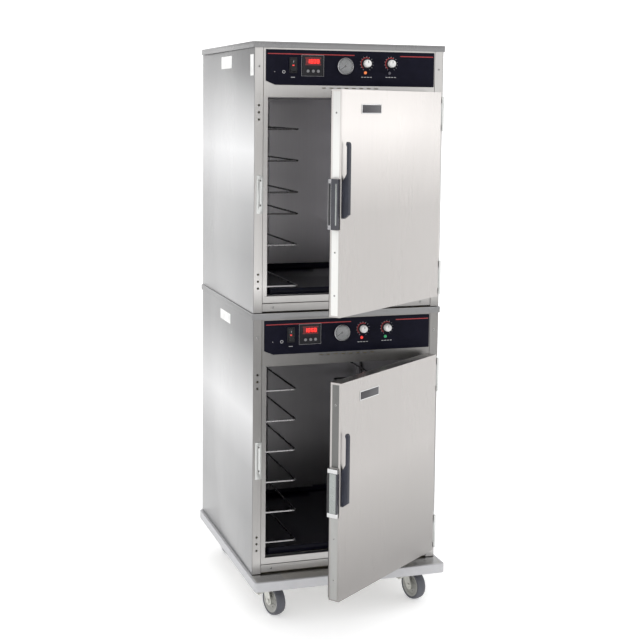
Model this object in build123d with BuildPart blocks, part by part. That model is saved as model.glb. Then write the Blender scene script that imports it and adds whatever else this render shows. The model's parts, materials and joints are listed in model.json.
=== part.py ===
from build123d import *
import math
import os

os.makedirs("parts", exist_ok=True)

# Two insulated holding ovens stacked on one wheeled base.
# Frame: +Z up, fronts face -Y, origin on the floor under the middle of the whole outline.
# Each oven is drawn in its own plane: x from its centreline, y back from its front plane,
# z up from its underside. All sizes are millimetres.

# ---------------------------------------------------------------- driving dimensions
body_width = 658.0
body_depth = 736.0
oven_height = 885.0
base_height = 152.0
half_width = body_width / 2
sheet = 1.5                      # casing sheet
joint_gap = 0.3                  # gap left between neighbouring sheets

bumper_front = 78.0              # how far the bumper stands out of the cabinet
bumper_side = 10.0
bumper_rear = 10.0
bumper_height = 32.0
bumper_wall = 10.0
bumper_corner = 14.0
bumper_edge = 2.5                # rounding of the bumper's rims

post_width = 30.0
strip_width = 16.0               # insulating strip between post and cavity
frame_depth = 26.0
cavity_half = half_width - post_width - strip_width - 2.0
cavity_floor = 57.0
cavity_top = 705.0
cavity_back = 690.0
liner_sheet = 1.2

cap_height = 20.0
cap_overhang = 4.0

# controls: places are (x, z) on the oven's front plane
overlay_left = -291.0
overlay_right = 295.0
overlay_bottom = 746.0
overlay_top = 860.0
overlay_notch = (31.0, 13.0)
overlay_sheet = 2.0
controller_place = (-133.0, 810.0)
controller_size = (72.0, 64.0)
controller_hole = (68.0, 60.0)   # cut for the controller's body
display_place = (-133.0, 823.5)
display_size = (50.0, 15.0)
button_places = [(-150.0, 792.0), (-132.0, 792.0), (-115.0, 792.0)]
button_radius = 4.8
rocker_place = (-200.0, 810.0)
rocker_size = (17.0, 42.0)
rocker_tilt = 7.0
gauge_place = (-21.0, 810.0)
gauge_radius = 27.0
knob_places = {"left": (53.5, 820.0), "right": (139.5, 821.0)}
lamp_places = [(50.0, 790.0), (135.0, 790.0)]
knob_radius = 16.0
lamp_radius = 5.0
louvre_row_z = 738.0
louvre_slot = (14.0, 3.0)
louvre_half_span = 91.0
louvre_middle = -2.0

# door, in its closed place: x from the oven's centreline, y from the front plane
door_left = 37.7 - half_width
door_right = 625.5 - half_width
door_face_y = -44.3
door_back_y = -5.4
door_bottom = 44.0
door_top = 729.0
door_sheet = 1.5
pressing = 30.0                  # border of the inner sheet left flat
gasket_width = 11.0
gasket_clearance = 0.4
hinge_x = half_width - 17.0      # the hinge pins' place
hinge_y = -40.0
hinge_centres = [106.0, 657.0]
hinge_height = 112.0
hinge_prong = 20.0
hinge_sheet = 2.5
knuckle_radius = 5.5
pin_radius = 3.0
running_gap = 0.05
open_angle = {"lower": 37.6, "upper": 36.7}

latch_bottom = 310.0
latch_top = 463.0
latch_reach = 10.7               # how far the latch stands out of the door's edge
handle_x = (-285.0, -271.0)
handle_out = 21.7                # how far the handle stands out of the door's face
handle_bottom = 345.0
handle_top = 574.0
handle_pivot_z = 347.0
handle_pivot_out = 3.7
strike_x = (-320.0, -298.0)
strike_z = (328.0, 453.0)
strike_thick = 3.0

# wire slides
slide_levels = {
    "lower": [95.0, 199.0, 303.5, 408.0, 512.0, 616.0],
    "upper": [83.0, 220.0, 324.0, 395.0, 499.0, 603.0],
}
slide_inner_x = 166.0
slide_front_y = 38.0
slide_back_y = 630.0
slide_wire = 3.0
slide_bend = 12.0
upright_width = 16.0
upright_depth = 6.5
upright_bottom = 80.0
upright_top = 700.0

# air system behind the cavity's back duct
duct_half = 92.0
duct_depth = 40.0
duct_bottom = 84.0
duct_top = 690.0
duct_slots = [140.0, 230.0, 380.0, 530.0, 620.0]
blower_z = 380.0
blower_radius = 60.0
element_radius = 80.0
element_gap = 40.0               # degrees between the ring element's two legs

# casters
wheel_radius = 50.8
wheel_width = 32.0
caster_inset = 74.5
caster_setback = 57.0
caster_trail = 36.0
caster_heading = -73.4           # direction of the trail, degrees from +X
braked = ("front_left", "front_right")
plate_size = (98.0, 84.0)
plate_thick = 4.0
plate_bolts = (74.0, 60.0)
fork_top = 118.0
fork_leg = 4.0
brake_x = (7.0, 29.0)
brake_pivot_z = 84.0
brake_pivot_out = wheel_width / 2 + 2.5 + fork_leg + 3.0
brake_boss = 2.5
brake_pin = 1.2
brake_reach = 32.0

# the outline's middle in Y, from the lower door's handle to the rear bumper
lower_open = math.radians(open_angle["lower"])
handle_reach_x = hinge_x - handle_x[0]
handle_reach_y = (door_face_y - handle_out) - hinge_y
handle_swing = handle_reach_x * math.sin(lower_open) - handle_reach_y * math.cos(lower_open)
front_reach = handle_swing - hinge_y
front_y = (front_reach - body_depth - bumper_rear) / 2

ovens = {"lower": base_height, "upper": base_height + oven_height}


# ---------------------------------------------------------------- planes and helpers
def oven_plane(oven):
    """x right, y back from the front plane, z up from the oven's underside."""
    return Plane(origin=(0, front_y, ovens[oven]), x_dir=(1, 0, 0), z_dir=(0, 0, 1))


def face_plane(oven, depth=0.0):
    """The oven's front: sketch x is x, sketch y is z, and extrusion comes forward."""
    return Plane(origin=(0, front_y + depth, ovens[oven]), x_dir=(1, 0, 0), z_dir=(0, -1, 0))


def door_frame(oven):
    """x, y and z of the closed door, turned about the hinge to where the door rests."""
    angle = math.radians(open_angle[oven])
    along = (math.cos(angle), math.sin(angle), 0)
    pivot = Vector(hinge_x, front_y + hinge_y, ovens[oven])
    back = Vector(-math.sin(angle), math.cos(angle), 0)
    origin = pivot - Vector(*along) * hinge_x - back * hinge_y
    return Plane(origin=origin, x_dir=along, z_dir=(0, 0, 1))


def door_side(oven, x):
    """A plane across the door at x: sketch x is y, sketch y is z, extrusion goes along +x."""
    frame = door_frame(oven)
    return Plane(origin=frame.from_local_coords((x, 0, 0)), x_dir=frame.y_dir, z_dir=frame.x_dir)


def slab(x, y, z, mode=Mode.ADD):
    """A box between the limits of x, y and z, in the active part's plane."""
    centre = ((x[0] + x[1]) / 2, (y[0] + y[1]) / 2, (z[0] + z[1]) / 2)
    with Locations(centre):
        Box(x[1] - x[0], y[1] - y[0], z[1] - z[0], mode=mode)


def save(piece, label):
    """Name a finished piece and write it out."""
    piece.part.label = label
    export_step(piece.part, f"parts/{label}.step")


# fastener places on an oven's front, (x, z), with the height of the seat they sit on
left_post_x = -half_width + 16.0
right_post_x = half_width - 16.0
post_leaf_half = 13.0
hinge_screw_step = 23.0
hinge_rows = [z + n * hinge_screw_step for z in hinge_centres for n in (-1, 0, 1)]
hinge_screws = [(right_post_x, z) for z in hinge_rows]
spare_holes = [(-x, z) for x, z in hinge_screws]
spare_hole_radius = 3.8
strike_screws = [(-309.0, 356.0), (-309.0, 437.0)]
post_screws = [(left_post_x, 805.0), (right_post_x, 805.0)]
sill_screws = [(-262.0, 18.0), (262.0, 18.0)]
back_screws = [(x, z) for x in (-300.0, 0.0, 300.0) for z in (30.0, 440.0, 850.0)]
inlet_place = (250.0, 70.0)
screw_shank = 1.9
screw_head = 4.2


# ---------------------------------------------------------------- base and bumper
caster_places = {
    "front_left": (-half_width + caster_inset, caster_setback),
    "front_right": (half_width - caster_inset, caster_setback),
    "rear_left": (-half_width + caster_inset, body_depth - caster_setback),
    "rear_right": (half_width - caster_inset, body_depth - caster_setback),
}
rail_bottom = base_height - 26.0
rail_top = base_height - 2.0
plate_bottom = rail_bottom - joint_gap - plate_thick


def make_base():
    """The deck under the lower oven, the box rails below it and the casters' fixed plates."""
    deck_plane = Plane(origin=(0, front_y, 0))
    deck_front = bumper_wall - bumper_front + joint_gap
    deck_back = body_depth - joint_gap
    deck_middle = (deck_front + deck_back) / 2
    deck_half = half_width - joint_gap
    rail = 42.0
    rail_inset = 20.0
    king_pin = 14.0
    with BuildPart(deck_plane) as base_frame:
        with BuildSketch(deck_plane.offset(rail_top + joint_gap)):
            with Locations((0, deck_middle)):
                RectangleRounded(2 * deck_half, deck_back - deck_front, bumper_corner - bumper_wall)
        extrude(amount=sheet)
        side = deck_half - rail_inset
        rail_y = (deck_front + rail_inset, deck_back - rail_inset)
        for x in (-side, side - rail):
            slab((x, x + rail), rail_y, (rail_bottom, rail_top))
        inner = side - rail - joint_gap
        for y in (rail_y[0], deck_middle - rail / 2, rail_y[1] - rail):
            slab((-inner, inner), (y, y + rail), (rail_bottom, rail_top))
        for x, y in caster_places.values():
            plane = Plane(origin=(x, front_y + y, plate_bottom))
            with BuildSketch(plane):
                RectangleRounded(*plate_size, 6.0)
                with GridLocations(*plate_bolts, 2, 2):
                    Circle(4.3, mode=Mode.SUBTRACT)
            extrude(amount=plate_thick)
            with BuildSketch(plane):
                Circle(5.0)
            extrude(amount=-king_pin)
    save(base_frame, "base_frame")


def make_bumper():
    """The moulded bumper that runs round the base."""
    deck_plane = Plane(origin=(0, front_y, 0))
    with BuildPart(deck_plane) as bumper:
        with BuildSketch(deck_plane.offset(base_height - bumper_height)):
            with Locations((0, (body_depth + bumper_rear - bumper_front) / 2)):
                outer_x = body_width + 2 * bumper_side
                outer_y = body_depth + bumper_front + bumper_rear
                RectangleRounded(outer_x, outer_y, bumper_corner)
                RectangleRounded(
                    outer_x - 2 * bumper_wall + 2 * joint_gap,
                    outer_y - 2 * bumper_wall + 2 * joint_gap,
                    bumper_corner - bumper_wall,
                    mode=Mode.SUBTRACT,
                )
        extrude(amount=bumper_height)
        rims = bumper.faces().sort_by(Axis.Z)
        outer_rims = [face.outer_wire().edges() for face in (rims[0], rims[-1])]
        fillet(outer_rims[0] + outer_rims[1], radius=bumper_edge)
    save(bumper, "bumper")


# ---------------------------------------------------------------- casters
def caster_frame(corner):
    """x along the trail, y along the axle, origin on the floor below the swivel."""
    x, y = caster_places[corner]
    heading = math.radians(caster_heading)
    along = (math.cos(heading), math.sin(heading), 0)
    return Plane(origin=(x, front_y + y, 0), x_dir=along, z_dir=(0, 0, 1))


def caster_side(corner, offset):
    """The caster's side plane: sketch x is the trail, sketch y is z, extrusion along -y."""
    frame = caster_frame(corner)
    return Plane(origin=frame.from_local_coords((0, offset, 0)), x_dir=frame.x_dir, z_dir=-frame.y_dir)


def make_fork(corner):
    """The swivelling fork: a race cup, two legs and the axle bolt across them."""
    frame = caster_frame(corner)
    leg_inner = wheel_width / 2 + 2.5
    leg_outer = leg_inner + fork_leg
    with BuildPart(frame) as fork:
        with BuildSketch(frame.offset(fork_top - 8.0)):
            Circle(27.0)
            Circle(5.0 + running_gap, mode=Mode.SUBTRACT)
        extrude(amount=8.0)
        for start in (leg_outer, -leg_inner):
            with BuildSketch(caster_side(corner, start)):
                with BuildLine():
                    Polyline(
                        (-26.0, fork_top - 4.0),
                        (26.0, fork_top - 4.0),
                        (caster_trail + 15.0, wheel_radius),
                        (caster_trail - 15.0, wheel_radius),
                        close=True,
                    )
                make_face()
                with Locations((caster_trail, wheel_radius)):
                    Circle(15.0)
            extrude(amount=fork_leg)
        with BuildSketch(caster_side(corner, leg_outer + 4.0)):
            with Locations((caster_trail, wheel_radius)):
                RegularPolygon(8.0, 6)
        extrude(amount=4.0)
        with BuildSketch(caster_side(corner, leg_outer)):
            with Locations((caster_trail, wheel_radius)):
                Circle(5.0)
        extrude(amount=2 * leg_outer + 5.0)
        with BuildSketch(caster_side(corner, -leg_outer)):
            with Locations((caster_trail, wheel_radius)):
                RegularPolygon(8.0, 6)
        extrude(amount=5.0)
        slab((-24.0, 24.0), (-leg_outer, leg_outer), (fork_top - 12.0, fork_top - 8.0))
        with BuildSketch(frame.offset(fork_top - 13.0)):
            Circle(5.0 + running_gap)
        extrude(amount=6.0, mode=Mode.SUBTRACT)
        if corner in braked:
            ear_y = (-brake_pivot_out - 3.0, -leg_outer + 0.5)
            for x in (brake_x[0] - 2.5, brake_x[1] + joint_gap):
                slab((x, x + 2.2), ear_y, (brake_pivot_z - 3.0, brake_pivot_z + 3.0))
            pin_start = frame.from_local_coords((brake_x[0] - 2.5, -brake_pivot_out, brake_pivot_z))
            with BuildSketch(Plane(origin=pin_start, x_dir=frame.y_dir, z_dir=frame.x_dir)):
                Circle(brake_pin)
            extrude(amount=brake_x[1] - brake_x[0] + 5.0)
    save(fork, f"{corner}_fork")


def make_wheel(corner):
    """A moulded core with a crowned rubber tyre bonded on, as two solids."""
    frame = caster_frame(corner)
    axle = Plane(
        origin=frame.from_local_coords((caster_trail, 0, wheel_radius)),
        x_dir=frame.x_dir,
        z_dir=-frame.y_dir,
    )
    half = wheel_width / 2
    core_radius = wheel_radius - 11.0
    profile_plane = Plane(origin=axle.origin, x_dir=axle.x_dir, z_dir=axle.y_dir)
    with BuildPart(axle) as wheel:
        with BuildSketch(profile_plane):
            with BuildLine():
                Polyline(
                    (5.0 + running_gap, -half - 2.0),
                    (15.0, -half - 2.0),
                    (17.0, -half + 5.0),
                    (core_radius - 7.0, -half + 7.0),
                    (core_radius - 4.0, -half + 1.0),
                    (core_radius, -half + 1.0),
                    (core_radius, half - 1.0),
                    (core_radius - 4.0, half - 1.0),
                    (core_radius - 7.0, half - 7.0),
                    (17.0, half - 5.0),
                    (15.0, half + 2.0),
                    (5.0 + running_gap, half + 2.0),
                    close=True,
                )
            make_face()
        revolve(axis=Axis(axle.origin, axle.z_dir))
        with BuildSketch(profile_plane):
            with BuildLine():
                Line((core_radius + joint_gap, -half), (wheel_radius - 4.0, -half))
                ThreePointArc(
                    (wheel_radius - 4.0, -half), (wheel_radius, 0), (wheel_radius - 4.0, half)
                )
                Line((wheel_radius - 4.0, half), (core_radius + joint_gap, half))
                Line((core_radius + joint_gap, half), (core_radius + joint_gap, -half))
            make_face()
        revolve(axis=Axis(axle.origin, axle.z_dir))
    save(wheel, f"{corner}_wheel")


def make_brake(corner):
    """A flip tab on the outer leg that rocks about a pin along the trail."""
    frame = caster_frame(corner)
    pivot = frame.from_local_coords((brake_x[0], -brake_pivot_out, brake_pivot_z))
    plane = Plane(origin=pivot, x_dir=frame.y_dir, z_dir=frame.x_dir)
    with BuildPart(plane) as brake:
        with BuildSketch(plane):
            Circle(brake_boss)
            with BuildLine():
                Polyline(
                    (0, brake_boss),
                    (-brake_reach, -4.0),
                    (-brake_reach, -8.0),
                    (0, -brake_boss),
                    close=True,
                )
            make_face()
            Circle(brake_pin + running_gap, mode=Mode.SUBTRACT)
        extrude(amount=brake_x[1] - brake_x[0])
    save(brake, f"{corner}_brake_pedal")


# ---------------------------------------------------------------- oven body
def make_casing(oven):
    """Outer sheets of one oven: two sides, back, underside and the top cap."""
    plane = oven_plane(oven)
    side_in = half_width - sheet
    top = oven_height - joint_gap
    with BuildPart(plane) as casing:
        cap = half_width + cap_overhang
        slab((-cap, cap), (-cap_overhang, body_depth + cap_overhang), (top - cap_height, top))
        hollow = cap - sheet
        slab(
            (-hollow, hollow),
            (sheet - cap_overhang, body_depth + cap_overhang - sheet),
            (top - cap_height, top - sheet),
            mode=Mode.SUBTRACT,
        )
        wall_z = (joint_gap, top - 2 * sheet)
        for x in (-half_width, side_in):
            slab((x, x + sheet), (0.0, body_depth), wall_z)
        inner = side_in - joint_gap
        slab((-inner, inner), (body_depth - sheet, body_depth), wall_z)
        floor_y = (frame_depth + 4.0, body_depth - sheet - joint_gap)
        slab((-inner, inner), floor_y, (joint_gap, joint_gap + sheet))
        with BuildSketch(face_plane(oven, body_depth)):
            with Locations(*back_screws):
                Circle(screw_shank + 0.2)
            with Locations(inlet_place):
                Circle(11.0)
        extrude(amount=2 * sheet, mode=Mode.SUBTRACT)
    save(casing, f"{oven}_casing")


def make_front_frame(oven):
    """Posts, insulating strips, header and sill around the cavity's mouth."""
    plane = oven_plane(oven)
    post_out = half_width - sheet - joint_gap
    post_in = half_width - post_width
    strip_out = post_in - 1.5
    strip_in = strip_out - strip_width + 1.5
    header_bottom = cavity_top + 2.0
    with BuildPart(plane) as front_frame:
        for side in (-1, 1):
            outer, inner = sorted((side * post_out, side * post_in))
            slab((outer, inner), (0.0, frame_depth), (2.0, oven_height - 4.0))
            channel = (outer + sheet, inner - sheet)
            slab(channel, (sheet, frame_depth), (1.0, oven_height), mode=Mode.SUBTRACT)
            near, far = sorted((side * strip_out, side * strip_in))
            slab((near, far), (1.0, 22.0), (cavity_floor - 1.0, header_bottom - joint_gap))
        slab((-strip_out, strip_out), (0.0, sheet), (header_bottom, oven_height - 4.0))
        slab((-strip_out, strip_out), (sheet, 20.0), (header_bottom, header_bottom + sheet))
        slab((-strip_out, strip_out), (0.0, 22.0), (34.0, cavity_floor - 1.0 - joint_gap))
        slab((-strip_out, strip_out), (1.5, 22.0), (6.0, 31.0))
        with BuildSketch(face_plane(oven, -1.0)):
            with Locations(*spare_holes):
                Circle(spare_hole_radius)
            with Locations(*hinge_screws, *strike_screws, *post_screws):
                Circle(screw_shank + 0.2)
            with Locations(controller_place):
                Rectangle(*controller_hole)
            with Locations(rocker_place):
                Rectangle(rocker_size[0] + 5.0, rocker_size[1] + 5.0)
            with Locations(gauge_place):
                Circle(gauge_radius - 0.5)
            with Locations(*knob_places.values(), *lamp_places):
                Circle(lamp_radius + 0.5)
        extrude(amount=-(sheet + 1.0 + 0.2), mode=Mode.SUBTRACT)
        with BuildSketch(face_plane(oven, -1.0)):
            with Locations(*sill_screws):
                Circle(screw_shank + 0.2)
        extrude(amount=-11.0, mode=Mode.SUBTRACT)
        with BuildSketch(face_plane(oven, -1.0)):
            with Locations((louvre_middle, louvre_row_z)):
                with GridLocations(2 * louvre_half_span / 7, 1, 8, 1):
                    SlotOverall(*louvre_slot)
        extrude(amount=-(sheet + 1.0 + 0.2), mode=Mode.SUBTRACT)
    save(front_frame, f"{oven}_front_frame")


def make_liner(oven):
    """Cavity sheets, and the duct cover that stands in front of the blower."""
    wall = cavity_half + liner_sheet
    depth = (frame_depth - 2.0, cavity_back)
    with BuildPart(oven_plane(oven)) as liner:
        for x in (-wall, cavity_half):
            slab((x, x + liner_sheet), depth, (cavity_floor, cavity_top))
        slab(
            (-wall, wall),
            (cavity_back + joint_gap, cavity_back + joint_gap + liner_sheet),
            (cavity_floor, cavity_top),
        )
        slab((-wall, wall), depth, (cavity_top + joint_gap, cavity_top + joint_gap + liner_sheet))
        floor_top = cavity_floor - joint_gap
        slab((-wall, wall), depth, (floor_top - liner_sheet, floor_top))
        duct_front = cavity_back - duct_depth
        slab((-duct_half, duct_half), (duct_front, cavity_back - joint_gap), (duct_bottom, duct_top))
        slab(
            (liner_sheet - duct_half, duct_half - liner_sheet),
            (duct_front + liner_sheet, cavity_back),
            (duct_bottom + liner_sheet, duct_top - liner_sheet),
            mode=Mode.SUBTRACT,
        )
        with BuildSketch(face_plane(oven, cavity_back + 5.0)):
            with Locations((0, blower_z)):
                Circle(6.5)
                with PolarLocations(element_radius, 2, 0.0, element_gap, endpoint=True):
                    Circle(5.0)
        extrude(amount=10.0, mode=Mode.SUBTRACT)
        duct_side = Plane(
            origin=(-duct_half - 2.0, front_y, ovens[oven]), x_dir=(0, 1, 0), z_dir=(1, 0, 0)
        )
        with BuildSketch(duct_side):
            for z in duct_slots:
                with Locations((cavity_back - duct_depth / 2, z)):
                    SlotOverall(60.0, 10.0, rotation=90)
        extrude(amount=2 * duct_half + 4.0, mode=Mode.SUBTRACT)
    save(liner, f"{oven}_liner")


def make_insulation():
    """Mineral wool slabs between each casing and its liner."""
    wall_in = cavity_half + liner_sheet + 1.0
    wall_out = half_width - sheet - 1.0
    wool_back = body_depth - sheet - 1.0
    head_room = 746.0
    with BuildPart() as insulation:
        for oven in ovens:
            origin = oven_plane(oven).origin
            with Locations(origin):
                for x in (-wall_out, wall_in):
                    slab((x, x + wall_out - wall_in), (frame_depth + 4.0, wool_back), (3.0, head_room))
                inner = wall_in - 0.5
                slab((-inner, inner), (frame_depth + 4.0, wool_back), (3.0, cavity_floor - 4.0))
                slab((-inner, inner), (frame_depth + 4.0, cavity_back), (cavity_top + 3.0, head_room))
                back_slab = (cavity_back + 3.0, wool_back)
                slab((-inner, inner), back_slab, (cavity_floor - 3.0, head_room))
            with BuildSketch(face_plane(oven, cavity_back)):
                with Locations((0, blower_z)):
                    Circle(48.0)
                    with PolarLocations(element_radius, 2, 0.0, element_gap, endpoint=True):
                        Circle(8.0)
                with Locations(inlet_place):
                    Rectangle(44.0, 44.0)
            extrude(amount=-60.0, mode=Mode.SUBTRACT)
            with BuildSketch(face_plane(oven, body_depth - 60.0)):
                with Locations(*back_screws):
                    Circle(4.0)
                with Locations(inlet_place):
                    Rectangle(44.0, 44.0)
            extrude(amount=-60.0, mode=Mode.SUBTRACT)
    save(insulation, "insulation")


# ---------------------------------------------------------------- controls
def make_control_panel(oven):
    """The dark overlay plate that carries the controls."""
    notch_x, notch_z = overlay_notch
    with BuildPart(oven_plane(oven)) as control_panel:
        with BuildSketch(face_plane(oven, -joint_gap)):
            with BuildLine():
                Polyline(
                    (overlay_left, overlay_bottom + notch_z),
                    (overlay_left + notch_x, overlay_bottom),
                    (overlay_right, overlay_bottom),
                    (overlay_right, overlay_top),
                    (overlay_left, overlay_top),
                    close=True,
                )
            make_face()
            with Locations(controller_place):
                Rectangle(*controller_hole, mode=Mode.SUBTRACT)
            with Locations(rocker_place):
                Rectangle(rocker_size[0] + 5.0, rocker_size[1] + 5.0, mode=Mode.SUBTRACT)
            with Locations(gauge_place):
                Circle(gauge_radius - 0.5, mode=Mode.SUBTRACT)
            with Locations(*knob_places.values(), *lamp_places):
                Circle(lamp_radius + 0.5, mode=Mode.SUBTRACT)
        extrude(amount=overlay_sheet)
        fillet(control_panel.edges().filter_by(Axis.Y).sort_by(Axis.X)[-2:], radius=3.0)
    save(control_panel, f"{oven}_control_panel")


panel_front = -joint_gap - overlay_sheet - joint_gap


def make_control_modules():
    """Controller bodies, rocker frames and the thermostats behind the knobs."""
    with BuildPart() as control_modules:
        for oven in ovens:
            with BuildSketch(face_plane(oven, panel_front)):
                with Locations(controller_place):
                    RectangleRounded(*controller_size, 4.0)
                with Locations(rocker_place):
                    RectangleRounded(rocker_size[0] + 9.0, rocker_size[1] + 9.0, 2.0)
                    Rectangle(rocker_size[0] + 1.2, rocker_size[1] + 1.6, mode=Mode.SUBTRACT)
            extrude(amount=3.5)
            with BuildSketch(face_plane(oven, panel_front)):
                with Locations(controller_place):
                    Rectangle(controller_hole[0] - 2.0, controller_hole[1] - 2.0)
            extrude(amount=-62.0)
            with BuildSketch(face_plane(oven, panel_front)):
                with Locations(rocker_place):
                    Rectangle(rocker_size[0] + 4.0, rocker_size[1] + 4.0)
                    Rectangle(rocker_size[0] + 1.2, rocker_size[1] + 1.6, mode=Mode.SUBTRACT)
            extrude(amount=-16.0)
            with BuildSketch(face_plane(oven, panel_front - 4.0)):
                with Locations(*button_places):
                    Circle(button_radius + 0.3)
            extrude(amount=-8.0, mode=Mode.SUBTRACT)
            with BuildSketch(face_plane(oven, panel_front - 4.0)):
                with Locations(display_place):
                    Rectangle(*display_size)
            extrude(amount=-2.0, mode=Mode.SUBTRACT)
            with BuildSketch(face_plane(oven, 40.0)):
                with Locations(*knob_places.values()):
                    Rectangle(36.0, 30.0)
            extrude(amount=36.0)
            with BuildSketch(face_plane(oven, 5.0)):
                with Locations(*knob_places.values()):
                    Circle(pin_radius)
            extrude(amount=22.0)
    save(control_modules, "control_modules")


def make_buttons(oven):
    """Three short push buttons of the controller, each its own piece."""
    for number, place in enumerate(button_places, start=1):
        with BuildPart() as button:
            with BuildSketch(face_plane(oven, panel_front + 1.5)):
                with Locations(place):
                    Circle(button_radius)
            extrude(amount=6.5)
            fillet(button.edges().sort_by(Axis.Y)[0], radius=1.0)
        save(button, f"{oven}_button_{number}")


def make_rocker(oven):
    """A power switch paddle, resting with its upper end pressed in."""
    x, z = rocker_place
    tilt = math.radians(rocker_tilt)
    up = (0, math.sin(tilt), math.cos(tilt))
    pivot = (x - rocker_size[0] / 2, front_y + panel_front, ovens[oven] + z)
    half = rocker_size[1] / 2
    plane = Plane(origin=pivot, x_dir=up, z_dir=(1, 0, 0))
    with BuildPart() as rocker:
        with BuildSketch(plane):
            with BuildLine():
                Polyline(
                    (-half, 5.5),
                    (0, 3.0),
                    (half, 5.5),
                    (half, -1.0),
                    (6.0, -6.0),
                    (-6.0, -6.0),
                    (-half, -1.0),
                    close=True,
                )
            make_face()
        extrude(amount=rocker_size[0])
        fillet(rocker.edges().filter_by(Axis.X), radius=0.6)
    save(rocker, f"{oven}_rocker_switch")


def make_thermometers():
    """Round dial cases with a bezel, a dial floor and the pointer's spindle."""
    with BuildPart() as thermometers:
        for oven in ovens:
            with BuildSketch(face_plane(oven, panel_front)):
                with Locations(gauge_place):
                    Circle(gauge_radius + 1.5)
            extrude(amount=6.5)
            with BuildSketch(face_plane(oven, panel_front)):
                with Locations(gauge_place):
                    Circle(gauge_radius - 1.0)
            extrude(amount=-16.0)
            with BuildSketch(face_plane(oven, panel_front - 7.5)):
                with Locations(gauge_place):
                    Circle(gauge_radius - 2.5)
            extrude(amount=-8.0, mode=Mode.SUBTRACT)
            with BuildSketch(face_plane(oven, panel_front + 0.5)):
                with Locations(gauge_place):
                    Circle(1.2)
            extrude(amount=3.6)
    save(thermometers, "thermometers")


def make_pointer(oven):
    """The thermometer's pointer on its spindle."""
    pointer_angle = 215.0
    with BuildPart() as pointer:
        with BuildSketch(face_plane(oven, panel_front - 1.4)):
            with Locations(gauge_place):
                Circle(3.2)
                with PolarLocations(9.0, 1, pointer_angle):
                    Rectangle(22.0, 1.6)
                Circle(1.2 + running_gap, mode=Mode.SUBTRACT)
        extrude(amount=1.0)
    save(pointer, f"{oven}_thermometer_pointer")


def make_knob(oven, side):
    """A round control knob with a raised finger bar, bored for the thermostat's shaft."""
    with BuildPart() as knob:
        with BuildSketch(face_plane(oven, panel_front - 1.0)):
            with Locations(knob_places[side]):
                Circle(knob_radius)
        extrude(amount=12.0, taper=5.0)
        with BuildSketch(face_plane(oven, panel_front - 12.0)):
            with Locations(knob_places[side]):
                SlotOverall(28.0, 9.0, rotation=90)
        extrude(amount=7.0, taper=4.0)
        with BuildSketch(face_plane(oven, panel_front)):
            with Locations(knob_places[side]):
                Circle(pin_radius + running_gap)
        extrude(amount=16.0, mode=Mode.SUBTRACT)
    save(knob, f"{oven}_{side}_knob")


def make_lenses():
    """Clear pieces: thermometer glasses, pilot lamp caps and display windows."""
    with BuildPart() as lenses:
        for oven in ovens:
            with BuildSketch(face_plane(oven, panel_front - 4.6)):
                with Locations(gauge_place):
                    Circle(gauge_radius - 2.7)
            extrude(amount=1.2)
            with BuildSketch(face_plane(oven, 8.0)):
                with Locations(*lamp_places):
                    Circle(lamp_radius)
            extrude(amount=14.0)
            with BuildSketch(face_plane(oven, panel_front - 2.2)):
                with Locations(display_place):
                    Rectangle(display_size[0] - 0.4, display_size[1] - 0.4)
            extrude(amount=1.2)
    save(lenses, "lenses")


# ---------------------------------------------------------------- inside the cavities
def make_slide_racks():
    """Perforated uprights on the cavity walls and the wire slides that hook into them."""
    hole_step = (slide_levels["lower"][1] - slide_levels["lower"][0]) / 3
    upright_ys = (slide_front_y, slide_back_y)
    wall = cavity_half - joint_gap
    with BuildPart() as slide_racks:
        for oven in ovens:
            origin = oven_plane(oven).origin
            with Locations(origin):
                for side in (-1, 1):
                    near, far = sorted((side * (wall - upright_depth), side * wall))
                    for y in upright_ys:
                        span = (y - upright_width / 2, y + upright_width / 2)
                        slab((near, far), span, (upright_bottom, upright_top))
                        channel = sorted((side * (wall - upright_depth + sheet), side * (wall + 1.0)))
                        channel_y = (span[0] + sheet, span[1] - sheet)
                        channel_z = (upright_bottom - 1.0, upright_top + 1.0)
                        slab(channel, channel_y, channel_z, mode=Mode.SUBTRACT)
            first_hole = slide_levels[oven][0]
            hole_count = int((upright_top - 12.0 - first_hole) / hole_step) + 1
            holes = [first_hole + hole_step * i for i in range(hole_count)]
            side_plane = Plane(
                origin=(-half_width, front_y, ovens[oven]), x_dir=(0, 1, 0), z_dir=(1, 0, 0)
            )
            with BuildSketch(side_plane):
                for y in upright_ys:
                    with Locations(*[(y, z) for z in holes + slide_levels[oven]]):
                        Circle(slide_wire + 0.4)
            extrude(amount=body_width, mode=Mode.SUBTRACT)
        for oven in ovens:
            for side in (-1, 1):
                for level in slide_levels[oven]:
                    height = ovens[oven] + level
                    tip = side * (wall - 4.0)
                    inner = side * slide_inner_x
                    front = front_y + slide_front_y
                    back = front_y + slide_back_y
                    with BuildLine() as loop:
                        FilletPolyline(
                            (tip, front, height),
                            (inner, front, height),
                            (inner, back, height),
                            (tip, back, height),
                            radius=slide_bend,
                        )
                    with BuildSketch(Plane(origin=(tip, front, height), z_dir=(-side, 0, 0))):
                        Circle(slide_wire)
                    sweep(path=loop.line)
    save(slide_racks, "slide_racks")


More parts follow.
